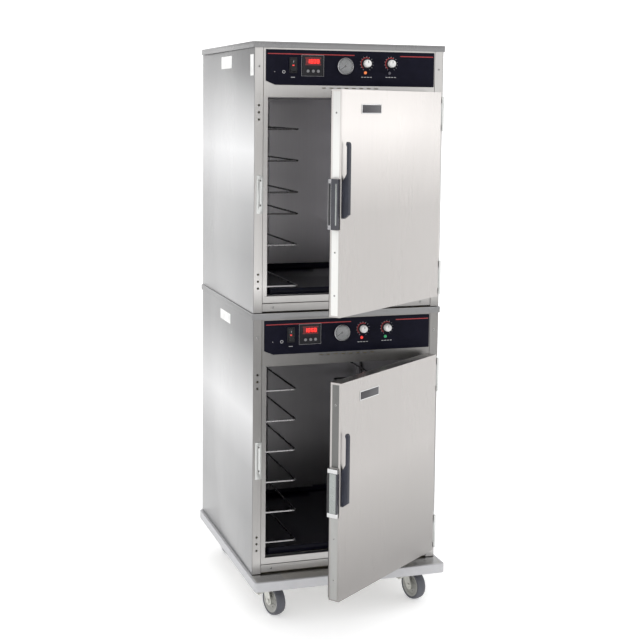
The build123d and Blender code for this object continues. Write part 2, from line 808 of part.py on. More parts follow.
def make_drip_pans():
    """Shallow pans on the cavity floors."""
    pan_half = 268.0
    pan_y = (32.0, 684.0)
    pan_z = (cavity_floor + joint_gap, cavity_floor + 20.0)
    with BuildPart() as drip_pans:
        for oven in ovens:
            middle = (pan_y[0] + pan_y[1]) / 2
            plane = Plane(origin=(0, front_y + middle, ovens[oven] + pan_z[0]))
            with BuildSketch(plane):
                RectangleRounded(2 * pan_half, pan_y[1] - pan_y[0], 14.0)
            extrude(amount=pan_z[1] - pan_z[0])
            with BuildSketch(plane.offset(liner_sheet)):
                RectangleRounded(2 * (pan_half - 2.0), pan_y[1] - pan_y[0] - 4.0, 12.0)
            extrude(amount=pan_z[1] - pan_z[0], mode=Mode.SUBTRACT)
    save(drip_pans, "drip_pans")


def make_blower_wheel(oven):
    """A bladed wheel on the motor's shaft, inside the back duct."""
    wheel_back = cavity_back - 6.0
    with BuildPart() as blower_wheel:
        with BuildSketch(face_plane(oven, wheel_back)):
            with Locations((0, blower_z)):
                Circle(blower_radius)
        extrude(amount=1.5)
        with BuildSketch(face_plane(oven, wheel_back - 1.5)):
            with Locations((0, blower_z)):
                with PolarLocations(blower_radius - 9.0, 16):
                    Rectangle(17.0, 1.5)
        extrude(amount=22.0)
        with BuildSketch(face_plane(oven, wheel_back - 23.5)):
            with Locations((0, blower_z)):
                Circle(blower_radius)
                Circle(blower_radius - 18.0, mode=Mode.SUBTRACT)
        extrude(amount=1.5)
        with BuildSketch(face_plane(oven, wheel_back + 2.0)):
            with Locations((0, blower_z)):
                Circle(9.0)
        extrude(amount=20.0)
        with BuildSketch(face_plane(oven, wheel_back + 3.0)):
            with Locations((0, blower_z)):
                Circle(4.0 + running_gap)
        extrude(amount=18.0, mode=Mode.SUBTRACT)
    save(blower_wheel, f"{oven}_blower_wheel")


def make_fan_heaters():
    """Per oven: a ring element round the blower wheel, and the motor whose shaft carries it."""
    ring_y = cavity_back - 18.0
    motor_front = body_depth - sheet - 36.0
    with BuildPart() as fan_heaters:
        for oven in ovens:
            centre = (0, front_y + ring_y, ovens[oven] + blower_z)
            with BuildSketch(Plane(origin=centre)):
                with Locations((element_radius, 0)):
                    Circle(3.5)
            revolve(axis=Axis(centre, (0, 1, 0)), revolution_arc=360.0 - element_gap)
            with BuildSketch(face_plane(oven, ring_y)):
                with Locations((0, blower_z)):
                    with PolarLocations(element_radius, 2, 0.0, element_gap, endpoint=True):
                        Circle(3.5)
            extrude(amount=-34.0)
            with BuildSketch(face_plane(oven, motor_front)):
                with Locations((0, blower_z)):
                    Circle(44.0)
            extrude(amount=-34.0)
            with BuildSketch(face_plane(oven, motor_front + 6.0)):
                with Locations((0, blower_z)):
                    Circle(4.0)
            extrude(amount=34.0)
    save(fan_heaters, "fan_heaters")


# ---------------------------------------------------------------- doors
def make_door_skin(oven):
    """The door's outer pan, open towards the cavity."""
    with BuildPart(door_frame(oven)) as door_skin:
        slab((door_left, door_right), (door_face_y, door_back_y), (door_bottom, door_top))
        fillet(door_skin.edges().filter_by(Axis.Z), radius=2.0)
        slab(
            (door_left + door_sheet, door_right - door_sheet),
            (door_face_y + door_sheet, door_back_y + 1.0),
            (door_bottom + door_sheet, door_top - door_sheet),
            mode=Mode.SUBTRACT,
        )
    save(door_skin, f"{oven}_door_skin")


def make_door_inner(oven):
    """The door's inner sheet, with its middle pressed out towards the cavity."""
    edge = door_sheet + joint_gap
    with BuildPart(door_frame(oven)) as door_inner:
        slab(
            (door_left + edge, door_right - edge),
            (door_back_y - door_sheet, door_back_y),
            (door_bottom + edge, door_top - edge),
        )
        slab(
            (door_left + pressing, door_right - pressing),
            (door_back_y - door_sheet, door_back_y + 2.0),
            (door_bottom + pressing, door_top - pressing),
        )
    save(door_inner, f"{oven}_door_inner_panel")


def make_door_insulation(oven):
    """The wool slab inside the door."""
    edge = door_sheet + 1.0
    with BuildPart(door_frame(oven)) as door_insulation:
        slab(
            (door_left + edge, door_right - edge),
            (door_face_y + edge, door_back_y - door_sheet - 1.0),
            (door_bottom + edge, door_top - edge),
        )
    save(door_insulation, f"{oven}_door_insulation")


def make_door_gasket(oven):
    """Four straight lengths of seal round the inner sheet."""
    x = (door_left + 4.5, door_right - 4.5)
    z = (door_bottom + 4.5, door_top - 4.5)
    y = (door_back_y + joint_gap, -gasket_clearance)
    with BuildPart(door_frame(oven)) as door_gasket:
        upright = (z[0] + gasket_width + joint_gap, z[1] - gasket_width - joint_gap)
        for start in (x[0], x[1] - gasket_width):
            slab((start, start + gasket_width), y, upright)
        for start in (z[0], z[1] - gasket_width):
            slab(x, y, (start, start + gasket_width))
        fillet(door_gasket.edges().filter_by(Axis.Z), radius=1.8)
    save(door_gasket, f"{oven}_door_gasket")


def hinge_spans(centre):
    """The heights of a hinge's lower prong, door knuckle and upper prong."""
    low = centre - hinge_height / 2
    high = centre + hinge_height / 2
    lower = (low, low + hinge_prong)
    upper = (high - hinge_prong, high)
    return lower, (lower[1] + joint_gap, upper[0] - joint_gap), upper


def make_door_hinge_leaves(oven):
    """Leaves screwed to the door's edge, each with a bored knuckle round the pin."""
    frame = door_frame(oven)
    leaf_x = door_right + joint_gap
    with BuildPart(frame) as door_hinge_leaves:
        for centre in hinge_centres:
            z = hinge_spans(centre)[1]
            slab((leaf_x, leaf_x + hinge_sheet), (door_face_y + 0.5, door_back_y - 4.0), z)
            arm_y = (hinge_y + knuckle_radius - hinge_sheet, hinge_y + knuckle_radius)
            slab((leaf_x, hinge_x - 1.0), arm_y, z)
            with BuildSketch(frame.offset(z[0])):
                with Locations((hinge_x, hinge_y)):
                    Circle(knuckle_radius)
            extrude(amount=z[1] - z[0])
            with BuildSketch(frame.offset(z[0] - 1.0)):
                with Locations((hinge_x, hinge_y)):
                    Circle(pin_radius + running_gap)
            extrude(amount=z[1] - z[0] + 2.0, mode=Mode.SUBTRACT)
    save(door_hinge_leaves, f"{oven}_door_hinge_leaves")


def make_door_latch(oven):
    """The magnet housing on the door's free edge and the handle's pivot lug and pin."""
    housing_x = (door_left - latch_reach, door_left - joint_gap)
    lug_middle = (handle_x[0] + handle_x[1]) / 2
    pivot = (door_face_y - handle_pivot_out, handle_pivot_z)
    with BuildPart(door_frame(oven)) as door_latch:
        slab(housing_x, (door_face_y + 4.0, -strike_thick - gasket_clearance), (latch_bottom, latch_top))
        fillet(door_latch.edges().filter_by(Axis.Z), radius=1.5)
        with BuildSketch(door_side(oven, lug_middle - 1.8)):
            with Locations(pivot):
                Circle(3.2)
            with Locations((pivot[0] + 1.8, pivot[1])):
                Rectangle(3.5, 6.4)
        extrude(amount=3.6)
        with BuildSketch(door_side(oven, handle_x[0] + 1.0)):
            with Locations(pivot):
                Circle(2.0)
        extrude(amount=handle_x[1] - handle_x[0] - 2.0)
    save(door_latch, f"{oven}_door_latch")


def make_door_handle(oven):
    """A lever handle: solid foot at the pivot, free grip above it."""
    inner = door_face_y - 0.4
    outer = door_face_y - handle_out
    grip_inner = outer + 7.0
    pivot = (door_face_y - handle_pivot_out, handle_pivot_z)
    lug_middle = (handle_x[0] + handle_x[1]) / 2
    with BuildPart(door_frame(oven)) as door_handle:
        with BuildSketch(door_side(oven, handle_x[0])):
            with BuildLine():
                Polyline(
                    (pivot[0], handle_bottom - 1.3),
                    (outer, handle_bottom + 12.0),
                    (outer, handle_top - 8.0),
                    (outer + 3.0, handle_top - 2.0),
                    (outer + 8.0, handle_top),
                    (grip_inner + 3.0, handle_top - 7.0),
                    (grip_inner, handle_top - 16.0),
                    (grip_inner, handle_top - 96.0),
                    (inner, handle_top - 119.0),
                    (inner, pivot[1]),
                    close=True,
                )
            make_face()
        extrude(amount=handle_x[1] - handle_x[0])
        slot = (lug_middle - 2.2, lug_middle + 2.2)
        slab(slot, (pivot[0] - 4.5, inner + 1.0), (handle_bottom - 4.0, pivot[1] + 6.5), mode=Mode.SUBTRACT)
        with BuildSketch(door_side(oven, handle_x[0] - 1.0)):
            with Locations(pivot):
                Circle(2.0 + running_gap)
        extrude(amount=handle_x[1] - handle_x[0] + 2.0, mode=Mode.SUBTRACT)
    save(door_handle, f"{oven}_door_handle")


def make_door_hardware():
    """Pieces fixed to the right and left posts: hinge brackets with pins, and strikes."""
    prong_left = hinge_x - knuckle_radius
    with BuildPart() as door_hardware:
        for oven in ovens:
            base = oven_plane(oven)
            for centre in hinge_centres:
                lower, middle, upper = hinge_spans(centre)
                whole = (lower[0], upper[1])
                with Locations(base.origin):
                    leaf_x = (right_post_x - post_leaf_half, right_post_x + post_leaf_half)
                    slab(leaf_x, (-hinge_sheet - joint_gap, -joint_gap), whole)
                    for z in (lower, upper):
                        slab((prong_left, prong_left + hinge_sheet), (hinge_y, -joint_gap), z)
                for z in (lower, upper):
                    with BuildSketch(base.offset(z[0])):
                        with Locations((hinge_x, hinge_y)):
                            Circle(knuckle_radius)
                    extrude(amount=z[1] - z[0])
                with BuildSketch(base.offset(whole[0] - 1.5)):
                    with Locations((hinge_x, hinge_y)):
                        Circle(pin_radius)
                extrude(amount=hinge_height + 3.0)
            with Locations(base.origin):
                slab(strike_x, (-strike_thick, -joint_gap), strike_z)
            with BuildSketch(face_plane(oven, 1.0)):
                with Locations(*hinge_screws, *strike_screws):
                    Circle(screw_shank + 0.2)
            extrude(amount=8.0, mode=Mode.SUBTRACT)
    save(door_hardware, "door_hardware")


# ---------------------------------------------------------------- fasteners and inlets
def make_fasteners():
    """Screws on the fronts and backs, and the caster plates' bolts."""
    seats = [
        (hinge_screws, -hinge_sheet - joint_gap),
        (strike_screws, -strike_thick),
        (post_screws, 0.0),
        (sill_screws, 1.5),
    ]
    with BuildPart() as fasteners:
        for oven in ovens:
            for places, seat in seats:
                with BuildSketch(face_plane(oven, seat - 0.1)):
                    with Locations(*places):
                        Circle(screw_head)
                extrude(amount=1.6, taper=20.0)
                with BuildSketch(face_plane(oven, seat - 0.1)):
                    with Locations(*places):
                        Circle(screw_shank)
                extrude(amount=-7.0)
            with BuildSketch(face_plane(oven, body_depth + 0.1)):
                with Locations(*back_screws):
                    Circle(screw_head)
            extrude(amount=-1.6)
            with BuildSketch(face_plane(oven, body_depth + 0.1)):
                with Locations(*back_screws):
                    Circle(screw_shank)
            extrude(amount=7.0)
        for x, y in caster_places.values():
            with BuildSketch(Plane(origin=(x, front_y + y, plate_bottom - 0.1))):
                with GridLocations(*plate_bolts, 2, 2):
                    RegularPolygon(6.5, 6)
            extrude(amount=-5.0)
            with BuildSketch(Plane(origin=(x, front_y + y, plate_bottom - 0.1))):
                with GridLocations(*plate_bolts, 2, 2):
                    Circle(4.0)
            extrude(amount=plate_thick + 0.2)
    save(fasteners, "fasteners")


def make_cord_inlets():
    """A gland in each back panel where the supply lead would enter."""
    with BuildPart() as cord_inlets:
        for oven in ovens:
            with BuildSketch(face_plane(oven, body_depth + joint_gap)):
                with Locations(inlet_place):
                    RegularPolygon(15.0, 6)
                    Circle(6.5, mode=Mode.SUBTRACT)
            extrude(amount=-8.0)
            with BuildSketch(face_plane(oven, body_depth + joint_gap)):
                with Locations(inlet_place):
                    Circle(10.7)
                    Circle(6.5, mode=Mode.SUBTRACT)
            extrude(amount=12.0)
    save(cord_inlets, "cord_inlets")


# ---------------------------------------------------------------- build everything
make_base()
make_bumper()
for corner in caster_places:
    make_fork(corner)
    make_wheel(corner)
for corner in braked:
    make_brake(corner)

for oven in ovens:
    make_casing(oven)
    make_front_frame(oven)
    make_liner(oven)
    make_control_panel(oven)
    make_buttons(oven)
    make_rocker(oven)
    make_pointer(oven)
    for side in knob_places:
        make_knob(oven, side)
    make_blower_wheel(oven)
    make_door_skin(oven)
    make_door_inner(oven)
    make_door_insulation(oven)
    make_door_gasket(oven)
    make_door_hinge_leaves(oven)
    make_door_latch(oven)
    make_door_handle(oven)

make_insulation()
make_control_modules()
make_thermometers()
make_lenses()
make_slide_racks()
make_drip_pans()
make_fan_heaters()
make_door_hardware()
make_fasteners()
make_cord_inlets()
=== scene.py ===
import json
import math
import random

import bmesh
import bpy
from mathutils import Matrix, Vector


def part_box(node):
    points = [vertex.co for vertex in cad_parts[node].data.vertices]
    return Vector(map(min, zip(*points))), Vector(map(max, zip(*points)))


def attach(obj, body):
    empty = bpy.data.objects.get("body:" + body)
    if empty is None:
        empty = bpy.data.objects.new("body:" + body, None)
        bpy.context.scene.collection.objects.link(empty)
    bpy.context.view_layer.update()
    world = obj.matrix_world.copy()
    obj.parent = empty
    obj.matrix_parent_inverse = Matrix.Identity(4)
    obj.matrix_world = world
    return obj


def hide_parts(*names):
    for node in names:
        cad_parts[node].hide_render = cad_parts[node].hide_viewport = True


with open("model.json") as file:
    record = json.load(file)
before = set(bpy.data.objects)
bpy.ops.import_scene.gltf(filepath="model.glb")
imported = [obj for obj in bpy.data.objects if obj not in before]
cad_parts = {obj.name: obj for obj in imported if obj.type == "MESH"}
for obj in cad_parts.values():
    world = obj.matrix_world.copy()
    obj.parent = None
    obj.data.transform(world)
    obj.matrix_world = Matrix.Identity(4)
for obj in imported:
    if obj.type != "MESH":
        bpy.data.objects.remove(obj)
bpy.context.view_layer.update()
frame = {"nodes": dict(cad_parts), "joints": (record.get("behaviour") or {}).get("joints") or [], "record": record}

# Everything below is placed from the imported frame. A "place" is a matrix that takes
# millimetres (u right, v up, w out of the face) to the frame's metres, so each detail is
# written down the way it would be measured on the object's front or on a closed door.

OVENS = ("lower", "upper")
MM = 0.001
NODES = frame["nodes"]
JOINTS = {joint["name"]: joint for joint in frame["joints"]}
FACING = Matrix(((1, 0, 0, 0), (0, 0, -1, 0), (0, 1, 0, 0), (0, 0, 0, 1)))


# ---------------------------------------------------------------- places
def face_place(oven):
    """The oven's front plane, with v counted from its underside."""
    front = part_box(f"{oven}_front_frame")[0].y
    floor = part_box(f"{oven}_casing")[0].z
    return Matrix.Translation((0, front, floor)) @ FACING @ Matrix.Scale(MM, 4)


def back_place(oven):
    """The oven's back plane, with u counted to the left as seen from the front."""
    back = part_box(f"{oven}_casing")[1].y
    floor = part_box(f"{oven}_casing")[0].z
    turn = Matrix.Rotation(math.pi, 4, "Z")
    return Matrix.Translation((0, back, floor)) @ turn @ FACING @ Matrix.Scale(MM, 4)


def side_place(oven, side):
    """A side of the oven: u runs along the side, v up from the underside."""
    low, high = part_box(f"{oven}_casing")
    wall = low.x if side < 0 else high.x
    turn = Matrix.Rotation(side * math.pi / 2, 4, "Z")
    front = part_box(f"{oven}_front_frame")[0].y
    return Matrix.Translation((wall, front, low.z)) @ turn @ FACING @ Matrix.Scale(MM, 4)


def door_turn(oven):
    """The matrix that takes the closed door to where it rests."""
    hinge = JOINTS[f"{oven}_door_hinge"]
    pivot = Matrix.Translation(hinge["pos_m"])
    angle = math.radians(-hinge["range_deg"][0])
    return pivot @ Matrix.Rotation(angle, 4, "Z") @ pivot.inverted()


def door_place(oven):
    """The front plane's millimetres, carried round with the door."""
    return door_turn(oven) @ face_place(oven)


def axis_place(node, axis):
    """Centred on a CAD node, with w along the given axis."""
    low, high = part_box(node)
    turn = Vector((0, 0, 1)).rotation_difference(Vector(axis)).to_matrix().to_4x4()
    return Matrix.Translation((low + high) / 2) @ turn @ Matrix.Scale(MM, 4)


def extent(points):
    """The lowest and highest corners of a set of points."""
    points = list(points)
    low = Vector(min(p[i] for p in points) for i in range(3))
    high = Vector(max(p[i] for p in points) for i in range(3))
    return low, high


def local_box(node, place):
    """A CAD node's box in a place's millimetres."""
    back = place.inverted()
    return extent(back @ vertex.co for vertex in NODES[node].data.vertices)


def local_islands(node, place):
    """The boxes of a CAD node's separate solids, in a place's millimetres."""
    mesh = NODES[node].data
    leader = {}

    def find(key):
        while leader.setdefault(key, key) != key:
            leader[key] = leader[leader[key]]
            key = leader[key]
        return key

    keys = [tuple(round(c, 6) for c in vertex.co) for vertex in mesh.vertices]
    for polygon in mesh.polygons:
        first = find(keys[polygon.vertices[0]])
        for index in polygon.vertices[1:]:
            leader[find(keys[index])] = first
    groups = {}
    for key in keys:
        groups.setdefault(find(key), []).append(Vector(key))
    back = place.inverted()
    return [extent(back @ point for point in groups[key]) for key in sorted(groups)]


def oven_islands(node, oven):
    """The separate solids of a node that both ovens share, for one oven only."""
    tall = (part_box("upper_casing")[0].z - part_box("lower_casing")[0].z) / MM
    return [box for box in local_islands(node, face_place(oven)) if 0 < box[0].y < tall]


# ---------------------------------------------------------------- finishes
class Finish:
    """A procedural material under construction: a Principled shader and its textures."""

    def __init__(self, name, **sockets):
        self.material = bpy.data.materials.new(name)
        self.material.use_nodes = True
        self.nodes = self.material.node_tree.nodes
        self.links = self.material.node_tree.links
        self.shader = self.nodes["Principled BSDF"]
        self.coordinates = self.nodes.new("ShaderNodeTexCoord").outputs["Object"]
        for socket, value in sockets.items():
            self.shader.inputs[socket.replace("_", " ")].default_value = value

    def noise(self, scale, stretch=(1, 1, 1), detail=3.0):
        """Noise in object space, stretched per axis."""
        mapping = self.nodes.new("ShaderNodeMapping")
        mapping.inputs["Scale"].default_value = stretch
        self.links.new(self.coordinates, mapping.inputs["Vector"])
        texture = self.nodes.new("ShaderNodeTexNoise")
        texture.inputs["Scale"].default_value = scale
        texture.inputs["Detail"].default_value = detail
        self.links.new(mapping.outputs["Vector"], texture.inputs["Vector"])
        return texture.outputs["Fac"]

    def spread(self, value, low, high, start=0.3, end=0.7):
        """A 0-1 value taken to a new range."""
        node = self.nodes.new("ShaderNodeMapRange")
        node.inputs["From Min"].default_value = start
        node.inputs["From Max"].default_value = end
        node.inputs["To Min"].default_value = low
        node.inputs["To Max"].default_value = high
        self.links.new(value, node.inputs["Value"])
        return node.outputs["Result"]

    def add(self, first, second):
        """The sum of two values."""
        node = self.nodes.new("ShaderNodeMath")
        node.operation = "ADD"
        self.links.new(first, node.inputs[0])
        self.links.new(second, node.inputs[1])
        return node.outputs["Value"]

    def tint(self, value, first, second):
        """Base colour between two colours by a 0-1 value."""
        node = self.nodes.new("ShaderNodeMix")
        node.data_type = "RGBA"
        node.inputs["A"].default_value = (*first, 1)
        node.inputs["B"].default_value = (*second, 1)
        self.links.new(value, node.inputs["Factor"])
        self.links.new(node.outputs["Result"], self.shader.inputs["Base Color"])

    def tone(self, axis, low, high, stops, repeats=False):
        """A grey of painted light and shade that follows one object axis between two heights, by (share, grey)
        stops.
        """
        split = self.nodes.new("ShaderNodeSeparateXYZ")
        self.links.new(self.coordinates, split.inputs["Vector"])
        share = self.spread(split.outputs[axis], 0.0, 1.0, low, high)
        if repeats:
            share.node.clamp = False
            wrap = self.nodes.new("ShaderNodeMath")
            wrap.operation = "FRACT"
            self.links.new(share, wrap.inputs[0])
            share = wrap.outputs["Value"]
        node = self.nodes.new("ShaderNodeValToRGB")
        points = node.color_ramp.elements
        while len(points) < len(stops):
            points.new(0.5)
        for point, (place, grey) in zip(points, stops):
            point.position = place
            point.color = (grey, grey, grey, 1)
        self.links.new(share, node.inputs["Fac"])
        return node.outputs["Color"]

    def shade(self, tone):
        """The base colour, multiplied by a grey of painted light and shade."""
        colour = self.shader.inputs["Base Color"]
        node = self.nodes.new("ShaderNodeMix")
        node.data_type = "RGBA"
        node.blend_type = "MULTIPLY"
        node.inputs["Factor"].default_value = 1.0
        self.links.new(colour.links[0].from_socket, node.inputs["A"])
        self.links.new(tone, node.inputs["B"])
        self.links.new(node.outputs["Result"], colour)

    def roughness(self, value):
        """A roughness that varies."""
        self.links.new(value, self.shader.inputs["Roughness"])

    def relief(self, value, distance, strength=1.0):
        """A bump of the given depth in metres."""
        node = self.nodes.new("ShaderNodeBump")
        node.inputs["Distance"].default_value = distance
        node.inputs["Strength"].default_value = strength
        self.links.new(value, node.inputs["Height"])
        self.links.new(node.outputs["Normal"], self.shader.inputs["Normal"])

    def grain_along(self, axis):
        """Anisotropy that follows circles about an axis."""
        tangent = self.nodes.new("ShaderNodeTangent")
        tangent.direction_type = "RADIAL"
        tangent.axis = axis
        self.links.new(tangent.outputs["Tangent"], self.shader.inputs["Tangent"])


def scaled(colour, factor):
    """A colour made lighter or darker."""
    return tuple(min(1.0, channel * factor) for channel in colour)


def brushed_steel(name, colour, rough, upright=True, smear=0.02, depth=0.00002, painted_light_bands=()):
    """Sheet steel with fine brush lines, faint smudges, and broad bands of painted reflection and shade multiplied
    into its colour.
    """
    finish = Finish(name, Metallic=1.0, Anisotropic=0.35)
    lines = (900, 900, 6) if upright else (6, 6, 900)
    brush = finish.noise(1.0, lines, 4.0)
    clouds = finish.noise(5.0, (1, 1, 0.5), 4.0)
    finish.tint(finish.spread(brush, 0.0, 1.0), scaled(colour, 0.97), scaled(colour, 1.03))
    for tone in painted_light_bands:
        finish.shade(finish.tone(*tone))
    streaks = finish.spread(brush, rough - 0.03, rough + 0.03)
    smudges = finish.spread(clouds, -smear, smear)
    finish.roughness(finish.add(streaks, smudges))
    finish.relief(brush, depth, 0.4)
    finish.grain_along("Z")
    return finish.material


def moulded(
    name, colour, rough, grain=1800.0, depth=0.00004, uneven=0.07, mottle=0.16, **sockets
):
    """Moulded plastic or rubber with a fine texture and slight handling marks."""
    finish = Finish(name, **sockets)
    pebbles = finish.noise(grain, detail=2.0)
    patches = finish.noise(28.0, detail=4.0)
    dark, light = scaled(colour, 1.0 - mottle), scaled(colour, 1.0 + mottle)
    finish.tint(finish.spread(patches, 0.0, 1.0), dark, light)
    finish.roughness(finish.spread(patches, rough - uneven, rough + uneven))
    finish.relief(pebbles, depth, 0.6)
    return finish.material


def plated(name, colour, rough, wear=0.08, painted_light_bands=()):
    """Bright plating with faint hazing, and any bands of painted light and shade multiplied into its colour."""
    finish = Finish(name, Metallic=1.0)
    haze = finish.noise(60.0, detail=4.0)
    finish.tint(finish.spread(haze, 0.0, 1.0), scaled(colour, 0.9), colour)
    for tone in painted_light_bands:
        finish.shade(finish.tone(*tone))
    finish.roughness(finish.spread(haze, rough, rough + wear))
    finish.relief(finish.noise(900.0), 0.00002, 0.4)
    return finish.material


def glowing(name, colour, strength):
    """A lit segment or lamp, slightly uneven."""
    finish = Finish(name, Roughness=0.35, Emission_Strength=strength)
    spots = finish.noise(700.0)
    finish.tint(finish.spread(spots, 0.0, 1.0), scaled(colour, 0.8), colour)
    finish.shader.inputs["Emission Color"].default_value = (*colour, 1)
    return finish.material


def clear(name, colour, rough=0.04):
    """Clear glass or acrylic with a light haze."""
    finish = Finish(name, IOR=1.45, Transmission_Weight=1.0)
    haze = finish.noise(40.0)
    finish.tint(finish.spread(haze, 0.0, 1.0), scaled(colour, 0.96), colour)
    finish.roughness(finish.spread(haze, rough, rough + 0.05))
    return finish.material


def wool(name, colour):
    """Fibrous insulation."""
    finish = Finish(name, Roughness=0.95)
    fibres = finish.noise(260.0, (1, 1, 5), 6.0)
    finish.tint(finish.spread(fibres, 0.0, 1.0), scaled(colour, 0.6), scaled(colour, 1.1))
    finish.relief(fibres, 0.002, 0.8)
    return finish.material


# Broad bands of painted light and shade on the sheets and wires, multiplied into their colour, in shares of an
# oven's or the stack's height. The side's last stop meets its first, because that band starts again on the upper
# oven.
OVEN_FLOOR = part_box("lower_casing")[0].z
STACK_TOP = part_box("upper_casing")[1].z
OVEN_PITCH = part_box("upper_casing")[0].z - OVEN_FLOOR
# Painted reflection: a bright band at 0.6 of each oven's height on the casing, with painted shade below and above
# it.
SIDE_PAINTED_LIGHT = ("Z", OVEN_FLOOR, OVEN_FLOOR + OVEN_PITCH, (
    (0.0, 0.6), (0.2, 0.5), (0.4, 0.6), (0.6, 1.0), (0.9, 0.4), (0.998, 0.35), (0.999, 0.6),
), True)
# Painted light and shade on the doors: darker towards the bottom of the stack, brightest near its top.
DOOR_PAINTED_LIGHT = ("Z", OVEN_FLOOR, STACK_TOP, ((0.05, 0.45), (0.25, 0.7), (0.7, 0.7), (0.85, 1.0)))
# Painted light and shade on the front frames: darker over the lower oven, brighter over the upper one.
FRONT_PAINTED_LIGHT = ("Z", OVEN_FLOOR, STACK_TOP, (
    (0.0, 0.9), (0.05, 0.6), (0.15, 0.6), (0.3, 0.4), (0.5, 0.35), (0.55, 1.0), (0.8, 0.75),
))
# Painted shade: the lower oven's cavity darker than the upper oven's.
CAVITY_PAINTED_SHADE = ("Z", OVEN_FLOOR, STACK_TOP, ((0.35, 0.6), (0.5, 1.0)))
# Painted light and shade on the door edge strips: dark along the lower door, bright along the upper one.
EDGE_PAINTED_LIGHT = ("Z", OVEN_FLOOR, STACK_TOP, ((0.2, 0.45), (0.25, 0.2), (0.45, 0.2), (0.5, 0.9)))
WIRES_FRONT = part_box("slide_racks")[0].y
# Painted highlight on the wires' front ends, painted shade along the rest of them.
WIRE_ENDS_PAINTED_LIGHT = ("Y", WIRES_FRONT, WIRES_FRONT + 0.06, ((0.3, 1.0), (0.4, 0.1)))
# Painted shade: the upper oven's wires much darker than the lower oven's.
UPPER_WIRES_PAINTED_SHADE = ("Z", OVEN_FLOOR, STACK_TOP, ((0.6, 1.0), (0.65, 0.15)))

FINISHES = {
    "satin_steel": brushed_steel("satin_steel", (0.62, 0.62, 0.625), 0.30, painted_light_bands=(SIDE_PAINTED_LIGHT,)),
    "brushed_front_steel": brushed_steel(
        "brushed_front_steel", (0.66, 0.645, 0.63), 0.34, painted_light_bands=(FRONT_PAINTED_LIGHT,)
    ),
    "cavity_steel": brushed_steel(
        "cavity_steel", (0.52, 0.51, 0.53), 0.34, depth=0.00001, painted_light_bands=(CAVITY_PAINTED_SHADE,)
    ),
    "dark_overlay": moulded(
        "dark_overlay", (0.006, 0.006, 0.013), 0.46, 900.0, uneven=0.03, Specular_IOR_Level=0.06
    ),
    "door_steel": brushed_steel("door_steel", (0.64, 0.613, 0.595), 0.30, painted_light_bands=(DOOR_PAINTED_LIGHT,)),
    "door_inner_steel": brushed_steel("door_inner_steel", (0.55, 0.545, 0.54), 0.34),
    "mineral_wool": wool("mineral_wool", (0.55, 0.47, 0.26)),
    "gasket_rubber": moulded("gasket_rubber", (0.022, 0.022, 0.024), 0.62, 1400.0),
    "hinge_steel": brushed_steel("hinge_steel", (0.60, 0.61, 0.60), 0.30, upright=False),
    "latch_plastic": moulded("latch_plastic", (0.040, 0.041, 0.050), 0.40, uneven=0.03),
    "handle_plastic": moulded(
        "handle_plastic", (0.022, 0.024, 0.036), 0.42, uneven=0.03, Specular_IOR_Level=0.3
    ),
    "knob_plastic": moulded("knob_plastic", (0.72, 0.72, 0.71), 0.34),
    "rocker_plastic": moulded(
        "rocker_plastic", (0.010, 0.010, 0.012), 0.25, Specular_IOR_Level=0.3
    ),
    "button_rubber": moulded("button_rubber", (0.20, 0.20, 0.21), 0.55),
    "pointer_paint": moulded("pointer_paint", (0.012, 0.012, 0.012), 0.45),
    "blower_aluminium": plated("blower_aluminium", (0.70, 0.70, 0.71), 0.32),
    "caster_zinc": plated("caster_zinc", (0.62, 0.62, 0.58), 0.30, 0.12),
    "caster_tyre": moulded("caster_tyre", (0.075, 0.078, 0.092), 0.52, 900.0),
    # Darker than the other steels: partly painted shade on the deck under the lower door.
    "base_steel": brushed_steel("base_steel", (0.42, 0.41, 0.39), 0.36),
    "bumper_rubber": moulded(
        "bumper_rubber", (0.45, 0.45, 0.465), 0.42, 700.0, uneven=0.03, mottle=0.04
    ),
    "module_plastic": moulded(
        "module_plastic", (0.009, 0.009, 0.012), 0.38, uneven=0.03, Specular_IOR_Level=0.25
    ),
    "gland_plastic": moulded("gland_plastic", (0.020, 0.020, 0.020), 0.45),
    "drip_pan_steel": moulded(
        "drip_pan_steel", (0.003, 0.003, 0.008), 0.24, 500.0, 0.00001, 0.02, Specular_IOR_Level=0.1
    ),
    "heater_steel": plated("heater_steel", (0.30, 0.28, 0.26), 0.35),
    "screw_steel": plated("screw_steel", (0.42, 0.42, 0.41), 0.30),
    "clear_lens": clear("clear_lens", (0.97, 0.98, 0.98)),
    "slide_chrome": plated(
        "slide_chrome", (0.62, 0.61, 0.62), 0.24, painted_light_bands=(WIRE_ENDS_PAINTED_LIGHT, UPPER_WIRES_PAINTED_SHADE)
    ),
    "dial_chrome": plated("dial_chrome", (0.62, 0.62, 0.62), 0.14),
}
